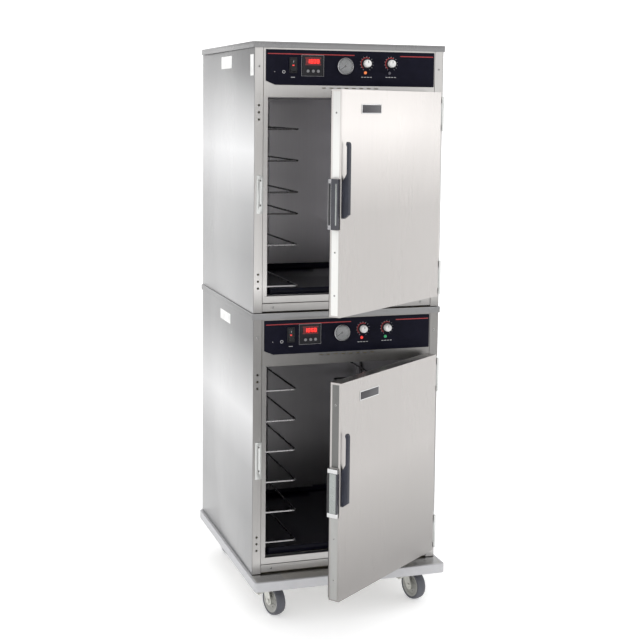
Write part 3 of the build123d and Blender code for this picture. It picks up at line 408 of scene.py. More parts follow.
EXTRA = {
    "red_print": moulded("red_print", (0.32, 0.016, 0.018), 0.40),
    "white_print": moulded("white_print", (0.42, 0.42, 0.43), 0.45),
    "dial_card": moulded("dial_card", (0.34, 0.34, 0.35), 0.50, 500.0),
    "red_digit": glowing("red_digit", (1.0, 0.03, 0.02), 1.5),
    "red_glow": glowing("red_glow", (0.10, 0.005, 0.006), 0.3),
    "red_lamp": glowing("red_lamp", (0.80, 0.04, 0.03), 0.6),
    "orange_lamp": glowing("orange_lamp", (0.75, 0.20, 0.06), 0.6),
    "green_lamp": glowing("green_lamp", (0.04, 0.30, 0.12), 0.5),
    "dark_lamp": glowing("dark_lamp", (0.10, 0.10, 0.12), 0.05),
    "smoked_window": glowing("smoked_window", (0.12, 0.004, 0.006), 0.4),
    "latch_plate": plated("latch_plate", (0.34, 0.36, 0.35), 0.22),
    "dark_chrome": plated("dark_chrome", (0.34, 0.34, 0.35), 0.16),
    # The door edge strips' steel, with painted light and shade by height.
    "edge_strip_painted_light_steel": brushed_steel("edge_strip_painted_light_steel", (0.80, 0.80, 0.78), 0.34, painted_light_bands=(EDGE_PAINTED_LIGHT,)),
    "label_paper": moulded("label_paper", (0.80, 0.80, 0.79), 0.50, 1200.0),
    "badge_face": moulded("badge_face", (0.030, 0.028, 0.034), 0.35),
    "magnet_strip": moulded("magnet_strip", (0.012, 0.012, 0.014), 0.50),
    # Near-black: painted shade in the screws' cross recesses, and the knobs' dark index marks.
    "recess_shade_and_index_marks": moulded("recess_shade_and_index_marks", (0.008, 0.008, 0.008), 0.70),
    "hub_grey": moulded("hub_grey", (0.33, 0.33, 0.31), 0.42, 600.0),
}


# ---------------------------------------------------------------- building pieces
class Shape:
    """A mesh drawn in a place's millimetres, out of bevelled blocks, turnings and prisms."""

    def __init__(self, place):
        self.place = place
        self.mesh = bmesh.new()

    def block(self, low, high, bevel=0.4, segments=2):
        """A box with rounded edges."""
        size = Vector(high) - Vector(low)
        middle = (Vector(high) + Vector(low)) / 2
        matrix = Matrix.Translation(middle) @ Matrix.Diagonal((*size, 1))
        made = bmesh.ops.create_cube(self.mesh, size=1.0, matrix=matrix)
        if bevel:
            edges = {edge for vertex in made["verts"] for edge in vertex.link_edges}
            offset = min(bevel, min(size) * 0.45)
            bmesh.ops.bevel(
                self.mesh, geom=list(edges), offset=offset, segments=segments,
                profile=0.5, affect="EDGES", clamp_overlap=True,
            )
        return self

    def turned(self, centre, rings, segments=48, flutes=0, depth=0.0, axis="w"):
        """Rings of (radius, height, share of the flutes) about an axis through centre."""
        loops = []
        for ring in rings:
            radius, height = ring[0], ring[1]
            share = ring[2] if len(ring) > 2 else 0.0
            loop = []
            for step in range(segments):
                angle = 2 * math.pi * step / segments
                reach = radius - depth * share * (0.5 - 0.5 * math.cos(flutes * angle))
                across, along = reach * math.cos(angle), reach * math.sin(angle)
                spot = (across, along, height) if axis == "w" else (height, across, along)
                loop.append(self.mesh.verts.new(Vector(centre) + Vector(spot)))
            loops.append(loop)
        for near, far in zip(loops, loops[1:]):
            for step in range(segments):
                after = (step + 1) % segments
                self.mesh.faces.new((near[step], near[after], far[after], far[step]))
        self.mesh.faces.new(list(reversed(loops[0])))
        self.mesh.faces.new(loops[-1])
        return self

    def ring(self, centre, rings, segments=48):
        """A closed turned ring: its section is the list of (radius, height)."""
        loops = []
        for radius, height in rings:
            loop = []
            for step in range(segments):
                angle = 2 * math.pi * step / segments
                spot = (radius * math.cos(angle), radius * math.sin(angle), height)
                loop.append(self.mesh.verts.new(Vector(centre) + Vector(spot)))
            loops.append(loop)
        for near, far in zip(loops, loops[1:] + loops[:1]):
            for step in range(segments):
                after = (step + 1) % segments
                self.mesh.faces.new((near[step], near[after], far[after], far[step]))
        return self

    def prism(self, outline, low, high):
        """An outline in u and v, raised from low to high in w."""
        under = [self.mesh.verts.new((u, v, low)) for u, v in outline]
        over = [self.mesh.verts.new((u, v, high)) for u, v in outline]
        count = len(outline)
        for step in range(count):
            after = (step + 1) % count
            self.mesh.faces.new((under[step], under[after], over[after], over[step]))
        self.mesh.faces.new(list(reversed(under)))
        self.mesh.faces.new(over)
        return self

    def finish(self, name, material, body, slot, replaces=(), crease=35.0):
        """The finished object, riding on its body."""
        bmesh.ops.recalc_face_normals(self.mesh, faces=self.mesh.faces)
        self.mesh.transform(self.place)
        mesh = bpy.data.meshes.new(name)
        self.mesh.to_mesh(mesh)
        self.mesh.free()
        return settle(name, mesh, material, body, replaces, crease)


def settle(name, mesh, material, body, replaces=(), crease=35.0):
    """Links a mesh as a piece of a body, with its finish and its creases."""
    mesh.materials.clear()
    mesh.materials.append(material)
    mesh.polygons.foreach_set("use_smooth", [True] * len(mesh.polygons))
    mesh.set_sharp_from_angle(angle=math.radians(crease))
    piece = bpy.data.objects.new(name, mesh)
    bpy.context.scene.collection.objects.link(piece)
    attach(piece, body)
    if replaces:
        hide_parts(*replaces)
    return piece


def soften(node, width, segments=2, crease=35.0):
    """A CAD node's shape with its edges rounded, standing in for the node."""
    shape = bmesh.new()
    shape.from_mesh(NODES[node].data)
    bmesh.ops.remove_doubles(shape, verts=shape.verts, dist=1e-6)
    flat = math.radians(0.5)
    bmesh.ops.dissolve_limit(shape, angle_limit=flat, verts=shape.verts, edges=shape.edges)
    sharp = math.radians(crease)
    edges = [e for e in shape.edges if e.is_manifold and e.calc_face_angle(0.0) > sharp]
    bmesh.ops.bevel(
        shape, geom=edges, offset=width * MM, segments=segments,
        profile=0.5, affect="EDGES", clamp_overlap=True,
    )
    mesh = bpy.data.meshes.new(node)
    shape.to_mesh(mesh)
    shape.free()
    slot = SLOTS[node]
    return settle(f"{node}_shaped", mesh, FINISHES[slot], BODY_OF[node], (node,), crease)


SLOTS = {part["node"]: part["material_slot"] for part in frame["record"]["subparts"]}
BODY_OF = {
    node: body
    for body, members in frame["record"]["behaviour"]["bodies"].items()
    for node in members
}


def dress_cad_nodes():
    """Every CAD node that stays takes its slot's finish."""
    for node, piece in NODES.items():
        material = FINISHES[SLOTS[node]]
        if not piece.material_slots:
            piece.data.materials.append(material)
        for slot in piece.material_slots:
            slot.material = material


# ---------------------------------------------------------------- controls
def printed_panel(oven):
    """The overlay's printed rules, scales and captions, as thin raised ink."""
    place = face_place(oven)
    low, high = local_box(f"{oven}_control_panel", place)
    skin = high.z
    ink = 0.12
    rule_v, rule_half = high.y - 14.0, 1.4
    arc_radius, arc_dots, dot_radius = 19.2, 20, 1.5
    caption_drop, letter_half, letter_tall = 45.5, 3.5, 2.0
    red = Shape(place)
    for start, end in ((low.x + 6.0, 11.0), (172.0, high.x - 4.0)):
        red.block((start, rule_v - rule_half, skin), (end, rule_v + rule_half, skin + ink), 0.0)

    white = Shape(place)
    for side in ("left", "right"):
        centre = sum(local_box(f"{oven}_{side}_knob", place), Vector()) / 2
        scale_marks(white, centre, 21.0, 24.0, skin, ink, 150.0, 13)
        for step in range(arc_dots):
            angle = math.radians(65.0 + 165.0 * step / (arc_dots - 1))
            across, along = arc_radius * math.cos(angle), arc_radius * math.sin(angle)
            mark = (centre.x + across, centre.y + along, 0)
            red.turned(mark, [(dot_radius, skin), (dot_radius, skin + ink)], 12)
        foot = centre.y - caption_drop
        for offset in (-15.0, -5.0, 5.0, 15.0):
            u = centre.x + offset
            letter = (u + letter_half, foot + letter_tall, skin + ink)
            white.block((u - letter_half, foot, skin), letter, 0.0)
    for u, v, half in ((-262.0, 788.0, 1.6), (-200.0, 771.0, 7.0)):
        white.block((u - half, v - 0.9, skin), (u + half, v + 0.9, skin + ink), 0.0)
    eyelet = [(3.6, skin), (3.6, skin + ink), (5.2, skin + ink), (5.2, skin)]
    white.ring((-231.0, 788.0, 0), eyelet, 32)
    frame_low, frame_high = controller_box(oven)
    grow, thin = 2.2, 0.7
    outer = (frame_low.x - grow, frame_low.y - grow, frame_high.x + grow, frame_high.y + grow)
    for left, right, bottom, top in (
        (outer[0], outer[0] + thin, outer[1], outer[3]),
        (outer[2] - thin, outer[2], outer[1], outer[3]),
        (outer[0], outer[2], outer[1], outer[1] + thin),
        (outer[0], outer[2], outer[3] - thin, outer[3]),
    ):
        white.block((left, bottom, skin), (right, top, skin + ink), 0.0)
    red.finish(f"{oven}_red_rules", EXTRA["red_print"], "cabinet", "dark_overlay")
    white.finish(f"{oven}_white_print", EXTRA["white_print"], "cabinet", "dark_overlay")


def scale_marks(shape, centre, inner, outer, skin, ink, reach, count):
    """Short ticks round a knob or dial, from -reach to +reach degrees of upright."""
    for step in range(count):
        angle = math.radians(90.0 + reach - 2 * reach * step / (count - 1))
        along = Vector((math.cos(angle), math.sin(angle), 0))
        across = Vector((-along.y, along.x, 0)) * 0.5
        middle = Vector((centre.x, centre.y, 0))
        corners = [
            middle + along * inner - across,
            middle + along * outer - across,
            middle + along * outer + across,
            middle + along * inner + across,
        ]
        shape.prism([(c.x, c.y) for c in corners], skin, skin + ink)


def controller_box(oven):
    """The controller bezel's box: the widest solid of the control modules on this oven."""
    return max(oven_islands("control_modules", oven), key=lambda b: b[1].x - b[0].x)


SEGMENTS = {"1": "bc", "8": "abcdefg", "5": "afgcd", "0": "abcdef", "6": "afgecd"}


def digits(oven, text):
    """Lit seven-segment digits on the display window, and the dim red mask above and below."""
    place = face_place(oven)
    low, high = controller_box(oven)
    window_drop, mask_half = 18.5, 27.0
    centre_u, centre_v = (low.x + high.x) / 2, high.y - window_drop
    window = min(oven_islands("lenses", oven), key=lambda box: box[0].x)
    skin = window[1].z + 0.02
    wide, tall, bar, pitch = 7.8, 12.6, 1.9, 11.0
    shape = Shape(place)
    for index, letter in enumerate(text):
        u = centre_u + (index - (len(text) - 1) / 2) * pitch
        left, right = u - wide / 2, u + wide / 2
        bottom, middle, top = centre_v - tall / 2, centre_v, centre_v + tall / 2
        bars = {
            "a": (left, right, top - bar, top),
            "d": (left, right, bottom, bottom + bar),
            "g": (left, right, middle - bar / 2, middle + bar / 2),
            "f": (left, left + bar, middle, top),
            "b": (right - bar, right, middle, top),
            "e": (left, left + bar, bottom, middle),
            "c": (right - bar, right, bottom, middle),
        }
        for key in SEGMENTS[letter]:
            x0, x1, y0, y1 = bars[key]
            shape.block((x0, y0, skin), (x1, y1, skin + 0.15), 0.0)
    shape.finish(f"{oven}_digits", EXTRA["red_digit"], "cabinet", "module_plastic")
    mask, skin = Shape(place), high.z
    left, right = centre_u - mask_half, centre_u + mask_half
    for bottom, top in ((8.0, 13.0), (-12.5, -8.0)):
        mask.block((left, centre_v + bottom, skin), (right, centre_v + top, skin + 0.15), 0.0)
    mask.finish(f"{oven}_display_mask", EXTRA["red_glow"], "cabinet", "module_plastic")


def knob(oven, side):
    """A light skirted knob with a fluted grip and a dark index line."""
    place = face_place(oven)
    low, high = local_box(f"{oven}_{side}_knob", place)
    centre = Vector(((low.x + high.x) / 2, (low.y + high.y) / 2, 0))
    base, tip, radius = low.z, high.z, (high.x - low.x) / 2
    rings = [
        (radius - 3.0, base + 2.0), (radius - 2.8, base + 5.4, 1.0), (radius - 3.6, tip - 2.6, 1.0),
        (radius - 4.6, tip - 0.7, 0.6), (radius - 6.2, tip, 0.0), (1.0, tip - 0.3, 0.0),
    ]
    skirt = Shape(place).turned(centre, [
        (radius - 1.0, base), (radius, base + 0.8), (radius, base + 2.4), (radius - 1.2, base + 3.6),
        (radius - 4.0, base + 4.2),
    ], 64)
    slot, body = "knob_plastic", f"{oven}_{side}_knob"
    skirt.finish(f"{body}_skirt", FINISHES["module_plastic"], body, slot, crease=40)
    shape = Shape(place).turned(centre, rings, 96, flutes=16, depth=1.1)
    shape.finish(f"{body}_shaped", FINISHES[slot], body, slot, (body,), crease=40)
    index = Shape(place)
    u, v = centre.x, centre.y
    index.block((u - 0.9, v + 2.0, tip - 0.7), (u + 0.9, v + radius - 6.6, tip + 0.0), 0.2)
    index.block((u - 0.9, v + radius - 3.0, base + 3.4), (u + 0.9, v + radius - 0.4, base + 4.2), 0.2)
    index.finish(f"{body}_index", EXTRA["recess_shade_and_index_marks"], body, slot)


def thermometer(oven):
    """A polished bezel, and a pale dial with its scale."""
    place = face_place(oven)
    boxes = oven_islands("thermometers", oven)
    low, high = extent(corner for box in boxes for corner in box)
    centre = Vector(((low.x + high.x) / 2, (low.y + high.y) / 2, 0))
    radius, front, back = (high.x - low.x) / 2, high.z, low.z
    replaced = ("thermometers",) if oven == "upper" else ()
    rim = Shape(place)
    rim.ring(centre, [
        (radius - 2.5, back), (radius - 2.5, front - 6.2), (radius - 0.2, front - 6.2),
        (radius, front - 5.4), (radius - 0.2, front - 2.2), (radius - 1.3, front - 0.5),
        (radius - 2.4, front), (radius - 3.4, front - 0.4), (radius - 4.2, front - 2.0),
        (radius - 4.2, back),
    ], 72)
    rim.finish(
        f"{oven}_thermometer_bezel", EXTRA["dark_chrome"], "cabinet", "dial_chrome", replaced
    )
    dial = front - 4.4
    card = Shape(place).turned(centre, [(radius - 4.2, dial - 2.0), (radius - 4.2, dial)], 64)
    card.finish(f"{oven}_dial_card", EXTRA["dial_card"], "cabinet", "dial_chrome")
    marks = Shape(place)
    scale_marks(marks, centre, radius - 9.5, radius - 6.0, dial, 0.1, 125.0, 11)
    scale_marks(marks, centre, radius - 7.6, radius - 6.0, dial, 0.1, 125.0, 51)
    marks.finish(f"{oven}_dial_marks", FINISHES["pointer_paint"], "cabinet", "dial_chrome")


LAMPS = {"lower": ("red_lamp", "green_lamp"), "upper": ("orange_lamp", "dark_lamp")}


def lenses():
    """Thermometer glasses, smoked display windows and coloured pilot lamps."""
    for oven in OVENS:
        place = face_place(oven)
        boxes = sorted(oven_islands("lenses", oven), key=lambda b: b[0].x)
        window, glass, lamp_left, lamp_right = boxes
        pane = Shape(place).block(window[0], window[1], 0.3)
        pane.finish(f"{oven}_display_window", EXTRA["smoked_window"], "cabinet", "clear_lens")
        low, high = glass
        centre, radius = (low + high) / 2, (high.x - low.x) / 2
        profile = [(radius, low.z), (radius, high.z - 0.3), (radius - 0.5, high.z)]
        disc = Shape(place).turned((centre.x, centre.y, 0), profile, 64)
        replaced = ("lenses",) if oven == "upper" else ()
        disc.finish(
            f"{oven}_thermometer_glass", FINISHES["clear_lens"], "cabinet", "clear_lens", replaced
        )
        for name, box in zip(LAMPS[oven], (lamp_left, lamp_right)):
            low, high = box
            centre, radius = (low + high) / 2, (high.x - low.x) / 2
            cap = Shape(place).turned((centre.x, centre.y, 0), [
                (radius - 0.2, low.z), (radius - 0.2, high.z - 3.2), (radius - 0.6, high.z - 1.8),
                (radius - 1.8, high.z - 0.6), (radius - 3.4, high.z - 0.1), (0.4, high.z),
            ], 32)
            cap.finish(f"{oven}_{name}", EXTRA[name], "cabinet", "clear_lens")


def rocker_marks(oven):
    """The bar moulded on one half of the switch, and the red lamp on the other."""
    place = face_place(oven)
    low, high = local_box(f"{oven}_rocker_switch", place)
    middle = (low + high) / 2
    pivot = Matrix.Translation((middle.x, middle.y, 0))
    lean = math.radians(7.0)
    tilted = place @ pivot @ Matrix.Rotation(lean, 4, "X")
    shape = Shape(tilted)
    shape.block((-0.7, 9.0, 7.0), (0.7, 15.0, 7.5), 0.1)
    shape.finish(f"{oven}_rocker_marks", EXTRA["white_print"], f"{oven}_rocker", "rocker_plastic")
    lamp = Shape(tilted).block((-3.2, -4.0, 5.6), (3.2, 2.0, 6.5), 0.4)
    lamp.finish(f"{oven}_rocker_lamp", EXTRA["red_lamp"], f"{oven}_rocker", "rocker_plastic")


# ---------------------------------------------------------------- fixings
def screw_heads():
    """Domed heads with a cross recess, and hex heads under the caster plates."""
    front_place, rear_place = face_place("lower"), back_place("lower")
    heads = Shape(front_place)
    crosses = Shape(front_place)
    hexes = Shape(front_place)
    back_heads = Shape(rear_place)
    back_crosses = Shape(rear_place)
    random_turn = random.Random(7)
    rear_face = local_box("lower_casing", front_place)[0].z
    for low, high in local_islands("fasteners", front_place):
        centre = (low + high) / 2
        if high.y < 0:
            hex_head(hexes, centre, low, high)
        elif low.z < rear_face + 20.0:
            turned_over = (-centre.x, centre.y, 0)
            cross_head(back_heads, back_crosses, turned_over, 1.4, random_turn)
        else:
            cross_head(heads, crosses, (centre.x, centre.y, 0), high.z, random_turn)
    # The cross recesses are near-black inlays: painted shade.
    steel, dark = FINISHES["screw_steel"], EXTRA["recess_shade_and_index_marks"]
    heads.finish("front_screws", steel, "cabinet", "screw_steel", ("fasteners",), 50)
    crosses.finish("front_screw_painted_recess_shade", dark, "cabinet", "screw_steel")
    back_heads.finish("back_screws", steel, "cabinet", "screw_steel", (), 50)
    back_crosses.finish("back_screw_painted_recess_shade", dark, "cabinet", "screw_steel")
    hexes.finish("caster_bolts", steel, "cabinet", "screw_steel")


def cross_head(heads, crosses, centre, top, random_turn, radius=4.2):
    """A domed head, and the cross in it as a dark inlay: painted shade in the recess."""
    height = 1.9
    heads.turned(centre, [
        (radius, top - height), (radius, top - height + 0.5), (radius * 0.86, top - 0.7),
        (radius * 0.6, top - 0.25), (radius * 0.3, top - 0.05), (0.2, top),
    ], 24)
    turn = Matrix.Rotation(random_turn.uniform(0, math.pi / 2), 3, "Z")
    for long, wide in ((radius * 0.56, 0.55), (0.55, radius * 0.56)):
        corners = [(-long, -wide), (long, -wide), (long, wide), (-long, wide)]
        spun = [turn @ Vector((u, v, 0)) for u, v in corners]
        outline = [(centre[0] + p.x, centre[1] + p.y) for p in spun]
        crosses.prism(outline, top - 0.6, top + 0.05)


def hex_head(shape, centre, low, high):
    """A bolt head under a plate, chamfered towards its tip."""
    radius, bottom = (high.x - low.x) / 2, low.y
    rings = ((radius * 0.86, bottom), (radius, bottom + 0.9), (radius, bottom + 4.2))
    loops = []
    for reach, level in rings:
        loop = []
        for step in range(6):
            angle = math.pi * step / 3
            spot = (centre.x + reach * math.cos(angle), level, centre.z + reach * math.sin(angle))
            loop.append(shape.mesh.verts.new(spot))
        loops.append(loop)
    for near, far in zip(loops, loops[1:]):
        for step in range(6):
            after = (step + 1) % 6
            shape.mesh.faces.new((near[step], near[after], far[after], far[step]))
    shape.mesh.faces.new(list(reversed(loops[0])))
    shape.mesh.faces.new(loops[-1])


# ---------------------------------------------------------------- doors
def door_details(oven):
    """What is fixed to a door: badge, latch trim and edge screws."""
    place = door_place(oven)
    body = f"{oven}_door"
    low, high = local_box(f"{oven}_door_skin", place)
    badge_spot, badge_size = Vector((105.0, 613.0, 0)), Vector((112.0, 30.0, 0))
    badge_low = Vector((low.x, low.y, high.z)) + badge_spot
    badge_high = badge_low + badge_size
    rim = Shape(place).block(badge_low, badge_high + Vector((0, 0, 1.6)), 0.8, 3)
    rim.finish(f"{oven}_badge_rim", FINISHES["dial_chrome"], body, "door_steel")
    inset = Vector((3.0, 3.0, 1.3))
    plate = Shape(place).block(badge_low + inset, badge_high + Vector((-3.0, -3.0, 1.8)), 0.2)
    plate.finish(f"{oven}_badge_plate", EXTRA["badge_face"], body, "door_steel")

    # The upper latch shows a slot between two rails, and the lower one a broad bright plate.
    latch = local_islands(f"{oven}_door_latch", place)
    out, inn = max(latch, key=lambda b: b[1].y - b[0].y)
    slotted = oven == "upper"
    slot = (out.z + 2.8, out.z + 10.8) if slotted else (out.z - 0.2, out.z + 9.0)
    cap_tall = 14.0
    cap_end = out.z + 13.0 if slotted else inn.z + 0.2
    caps = Shape(place)
    for start in (out.y - 0.2, inn.y + 0.2 - cap_tall):
        caps.block(
            (out.x - 0.25, start, out.z + 1.0), (inn.x - 1.0, start + cap_tall, cap_end), 1.2, 3
        )
    if slotted:
        rail_wide = 1.8
        for edge in (slot[0] - rail_wide, slot[1]):
            near = (out.x - 0.5, out.y + 9.0, edge)
            caps.block(near, (out.x + 1.0, inn.y - 9.0, edge + rail_wide), 0.6)
    cap_finish = EXTRA["dark_chrome"] if slotted else FINISHES["dial_chrome"]
    caps.finish(f"{oven}_latch_caps", cap_finish, body, "latch_plastic")
    trim = Shape(place)
    middle = (out.z + inn.z) / 2
    near = (out.x - 0.3, out.y + cap_tall, middle + (9.0 if slotted else -10.0))
    trim.block(near, (out.x + 2.0, inn.y - cap_tall, middle + 14.0), 0.6)
    trim.finish(f"{oven}_latch_trim", EXTRA["latch_plate"], body, "latch_plastic")
    magnet = Shape(place)
    near = (out.x - 0.3, out.y + 16.0, slot[0])
    magnet.block(near, (out.x + 4.0, inn.y - 16.0, slot[1]), 0.5)
    magnet.finish(f"{oven}_latch_magnet", EXTRA["magnet_strip"], body, "latch_plastic")

    # Thin strips on the door's free edge, in steel with painted light and shade by height.
    strip = Shape(place)
    border = 7.0
    for bottom, top in ((inn.y + 2.0, high.y - 6.0), (low.y + 5.0, out.y - 2.0)):
        near = (low.x - 0.25, bottom, low.z + border)
        strip.block(near, (low.x + 0.5, top, high.z - border), 0.2)
    strip.finish(f"{oven}_door_edge_painted_light_strip", EXTRA["edge_strip_painted_light_steel"], body, "door_steel")

    edge_place = place @ Matrix.Translation((low.x, 0, 0)) @ Matrix.Rotation(-math.pi / 2, 4, "Y")
    heads, crosses = Shape(edge_place), Shape(edge_place)
    random_turn = random.Random(11)
    head_radius = 3.4
    for height in (616.0, 197.0, 66.0):
        spot = ((low.z + high.z) / 2, low.y + height, 0)
        cross_head(heads, crosses, spot, 1.5, random_turn, head_radius)
    heads.finish(f"{oven}_door_edge_screws", FINISHES["screw_steel"], body, "door_steel", (), 50)
    # The edge screws' crosses take the near-black painted shade.
    crosses.finish(f"{oven}_door_edge_painted_recess_shade", EXTRA["recess_shade_and_index_marks"], body, "door_steel")


# ---------------------------------------------------------------- casters
def caster_wheel(corner):
    """A crowned tyre on a dished hub, turned about the wheel's own axle."""
    node = f"{corner}_wheel"
    axis = JOINTS[f"{corner}_wheel_roll"]["axis"]
    place = axis_place(node, axis)
    radius, half, crown, crown_half = 50.8, 16.0, 6.6, 17.836
    tyre = Shape(place)
    section = [(radius - 10.5, -half + 0.6), (radius - 5.0, -half)]
    for step in range(9):
        angle = math.radians(-62.0 + 124.0 * step / 8)
        section.append((radius - crown + crown * math.cos(angle), crown_half * math.sin(angle)))
    section += [(radius - 5.0, half), (radius - 10.5, half - 0.6)]
    tyre.ring((0, 0, 0), section, 96)
    tyre.finish(f"{node}_tyre", FINISHES["caster_tyre"], node, "caster_tyre", (node,))
    hub = Shape(place)
    hub.ring((0, 0, 0), [
        (5.05, -18.0), (12.0, -18.0), (14.5, -16.5), (16.0, -10.0), (30.0, -8.5), (36.0, -14.2),
        (40.6, -15.2), (40.6, 15.2), (36.0, 14.2), (30.0, 8.5), (16.0, 10.0), (14.5, 16.5),
        (12.0, 18.0), (5.05, 18.0),
    ], 72)
    boss_count, boss_circle, boss_radius = 8, 23.0, 2.8
    for step in range(boss_count):
        angle = 2 * math.pi * step / boss_count
        u, v = boss_circle * math.cos(angle), boss_circle * math.sin(angle)
        for near, far in ((-11.5, -8.0), (8.0, 11.5)):
            hub.turned((u, v, 0), [(boss_radius, near), (boss_radius, far)], 16)
    hub.finish(f"{node}_hub", EXTRA["hub_grey"], node, "caster_tyre")


def caster_race(corner):
    """The pressed ball race over the fork, and its dust cap."""
    low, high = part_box(f"{corner}_fork")
    centre = Vector(JOINTS[f"{corner}_swivel_turn"]["pos_m"])
    centre.z = high.z
    place = Matrix.Translation(centre) @ Matrix.Scale(MM, 4)
    race = Shape(place)
    race.ring((0, 0, 0), [
        (5.2, -3.5), (24.0, -3.5), (26.9, -5.5), (26.9, -1.0), (25.0, 1.0), (21.0, 2.2),
        (14.0, 2.6), (5.2, 2.6),
    ], 64)
    race.finish(f"{corner}_race", FINISHES["caster_zinc"], f"{corner}_swivel", "caster_zinc")


# ---------------------------------------------------------------- outside details
def labels():
    """Plain paper labels on the left side and blank rating plates on the back."""
    spots = {
        "upper": ((-443.0, 805.0, 147.0, 42.0), (-49.0, 775.0, 40.0, 68.0)),
        "lower": ((-448.0, 801.0, 144.0, 35.0),),
    }
    for oven in OVENS:
        place = side_place(oven, -1)
        wall = -4.0
        shape = Shape(place)
        for u, v, wide, tall in spots[oven]:
            shape.block((u, v, wall), (u + wide, v + tall, wall + 0.25), 0.1, 1)
        shape.finish(f"{oven}_side_label", EXTRA["label_paper"], "cabinet", "satin_steel")
        rear = Shape(back_place(oven))
        rear.block((-60.0, 90.0, -4.0), (40.0, 150.0, -3.4), 0.2, 1)
        rear.finish(f"{oven}_rating_plate", FINISHES["dial_chrome"], "cabinet", "satin_steel")


def deck_corners():
    """Plates on the deck's two front corners, in front of the lower oven, brighter than the deck between them:
    partly real plates, partly a painted highlight.
    """
    low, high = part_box("base_frame")
    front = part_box("lower_front_frame")[0].y
    place = Matrix.Translation((0, low.y, high.z)) @ Matrix.Scale(MM, 4)
    depth = (front - low.y) / MM - 2.0
    half = high.x / MM
    shape = Shape(place)
    for side in (-1, 1):
        near, far = sorted((side * (half - 4.0), side * (half - 96.0)))
        shape.block((near, 4.0, -0.2), (far, depth, 0.1), 0.1, 1)
    shape.finish("deck_corner_highlight_plates", FINISHES["satin_steel"], "cabinet", "base_steel")


# ---------------------------------------------------------------- studio
def aim_camera():
    """A long lens well left of the front, near the top's height, looking slightly down."""
    post, deck = 0.038, 0.152
    left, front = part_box("lower_control_panel")[0].x - post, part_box("lower_front_frame")[0].y
    corner = Vector((left, front, deck))
    eye = Vector((-1.0900, -4.0232, 1.5611))
    data = bpy.data.cameras.new("camera")
    data.sensor_width = 36.0
    data.lens = 72.32
    data.shift_y = -0.125
    camera = bpy.data.objects.new("camera", data)
    bpy.context.scene.collection.objects.link(camera)
    heading, dip, roll = (math.radians(angle) for angle in (18.137, 5.904, 0.611))
    forward = Vector((
        math.sin(heading) * math.cos(dip), math.cos(heading) * math.cos(dip), -math.sin(dip)
    ))
    right = Vector((math.cos(heading), -math.sin(heading), 0))
    up = right.cross(forward)
    across = right * math.cos(roll) + up * math.sin(roll)
    over = up * math.cos(roll) - right * math.sin(roll)
    turn = Matrix((across, over, -forward)).transposed().to_4x4()
    camera.matrix_world = Matrix.Translation(corner + eye) @ turn
    bpy.context.scene.camera = camera


def soft_light(name, place, target, size, power, colour=(1, 1, 1)):
    """A rectangular soft box facing a target, unseen by the camera."""
    data = bpy.data.lights.new(name, "AREA")
    data.shape = "RECTANGLE"
    data.size, data.size_y = size
    data.energy = power
    data.color = colour
    light = bpy.data.objects.new(name, data)
    aim = (Vector(target) - Vector(place)).to_track_quat("-Z", "Y").to_matrix().to_4x4()
    light.matrix_world = Matrix.Translation(place) @ aim
    light.visible_camera = False
    bpy.context.scene.collection.objects.link(light)
    return light


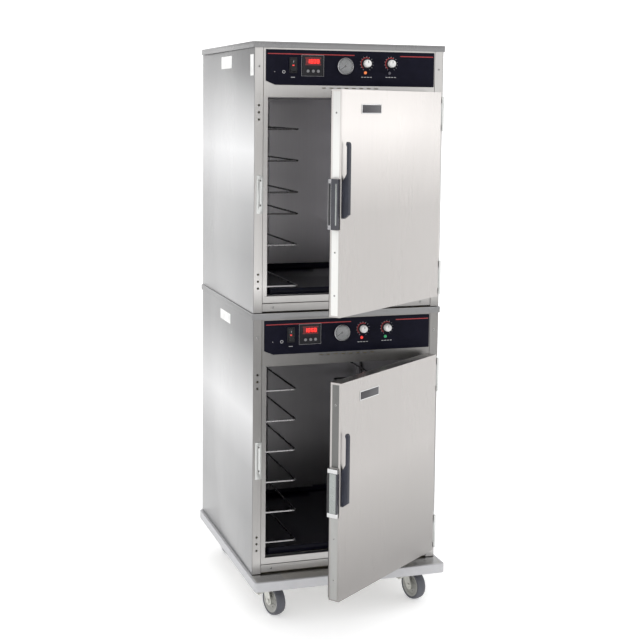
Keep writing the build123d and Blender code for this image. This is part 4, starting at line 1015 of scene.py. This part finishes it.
def studio():
    """A pale round sweep, an even white surround and large soft boxes."""
    steps, radius, wall, glow = 96, 7.5, 3.0, 0.35
    shape = bmesh.new()
    middle = shape.verts.new((0, 0, 0))
    loops = []
    profile = [(radius * share, 0.0) for share in (0.25, 0.5, 0.75, 1.0)]
    for step in range(1, 9):
        angle = math.pi / 2 * step / 8
        profile.append((radius + wall * math.sin(angle), wall * (1 - math.cos(angle))))
    angles = [2 * math.pi * step / steps for step in range(steps)]
    for reach, height in profile:
        loops.append([
            shape.verts.new((reach * math.cos(angle), reach * math.sin(angle), height))
            for angle in angles
        ])
    for step in range(steps):
        after = (step + 1) % steps
        shape.faces.new((middle, loops[0][step], loops[0][after]))
        for near, far in zip(loops, loops[1:]):
            shape.faces.new((near[step], far[step], far[after], near[after]))
    mesh = bpy.data.meshes.new("sweep")
    shape.to_mesh(mesh)
    shape.free()
    mesh.polygons.foreach_set("use_smooth", [True] * len(mesh.polygons))
    floor = bpy.data.objects.new("sweep", mesh)
    bpy.context.scene.collection.objects.link(floor)
    paper = Finish("sweep_paper", Roughness=0.9)
    paper.tint(paper.spread(paper.noise(1.5), 0.0, 1.0), (0.90, 0.90, 0.90), (0.93, 0.93, 0.93))
    paper.shader.inputs["Emission Color"].default_value = (1, 1, 1, 1)
    paper.shader.inputs["Emission Strength"].default_value = glow
    mesh.materials.append(paper.material)

    world = bpy.data.worlds.new("surround")
    bpy.context.scene.world = world
    world.use_nodes = True
    background = world.node_tree.nodes["Background"]
    background.inputs["Color"].default_value = (1.0, 1.0, 1.0, 1)
    background.inputs["Strength"].default_value = 1.0

    soft_light("key", (-2.6, -4.6, 3.4), (0, 0, 0.9), (2.6, 2.6), 30)
    soft_light("right_box", (3.6, -0.9, 2.6), (0.1, -0.2, 1.9), (2.6, 1.8), 7)
    soft_light("back_left_box", (-2.6, 3.8, 1.6), (-0.3, 0.2, 1.2), (2.2, 1.4), 1.5)
    view = bpy.context.scene.view_settings
    view.view_transform = "Standard"
    view.look = "None"


# ---------------------------------------------------------------- everything
def main():
    dress_cad_nodes()
    aim_camera()
    studio()
    for oven in OVENS:
        for part, width in (
            ("casing", 0.35), ("control_panel", 0.4), ("door_skin", 1.2),
            ("door_inner_panel", 0.8), ("door_gasket", 1.2), ("door_hinge_leaves", 0.8),
            ("door_latch", 1.0), ("door_handle", 2.4), ("rocker_switch", 0.5),
        ):
            soften(f"{oven}_{part}", width, 3 if width > 1 else 2)
        for number in (1, 2, 3):
            soften(f"{oven}_button_{number}", 0.6)
        rocker_marks(oven)
        printed_panel(oven)
        digits(oven, "1808" if oven == "upper" else "1650")
        for side in ("left", "right"):
            knob(oven, side)
        thermometer(oven)
        door_details(oven)
    lenses()
    soften("control_modules", 0.5)
    soften("door_hardware", 0.6)
    soften("drip_pans", 0.5)
    for corner in ("front_left", "front_right", "rear_left", "rear_right"):
        soften(f"{corner}_fork", 0.7)
        caster_wheel(corner)
        caster_race(corner)
    for corner in ("front_left", "front_right"):
        soften(f"{corner}_brake_pedal", 0.6)
    screw_heads()
    labels()
    deck_corners()


main()
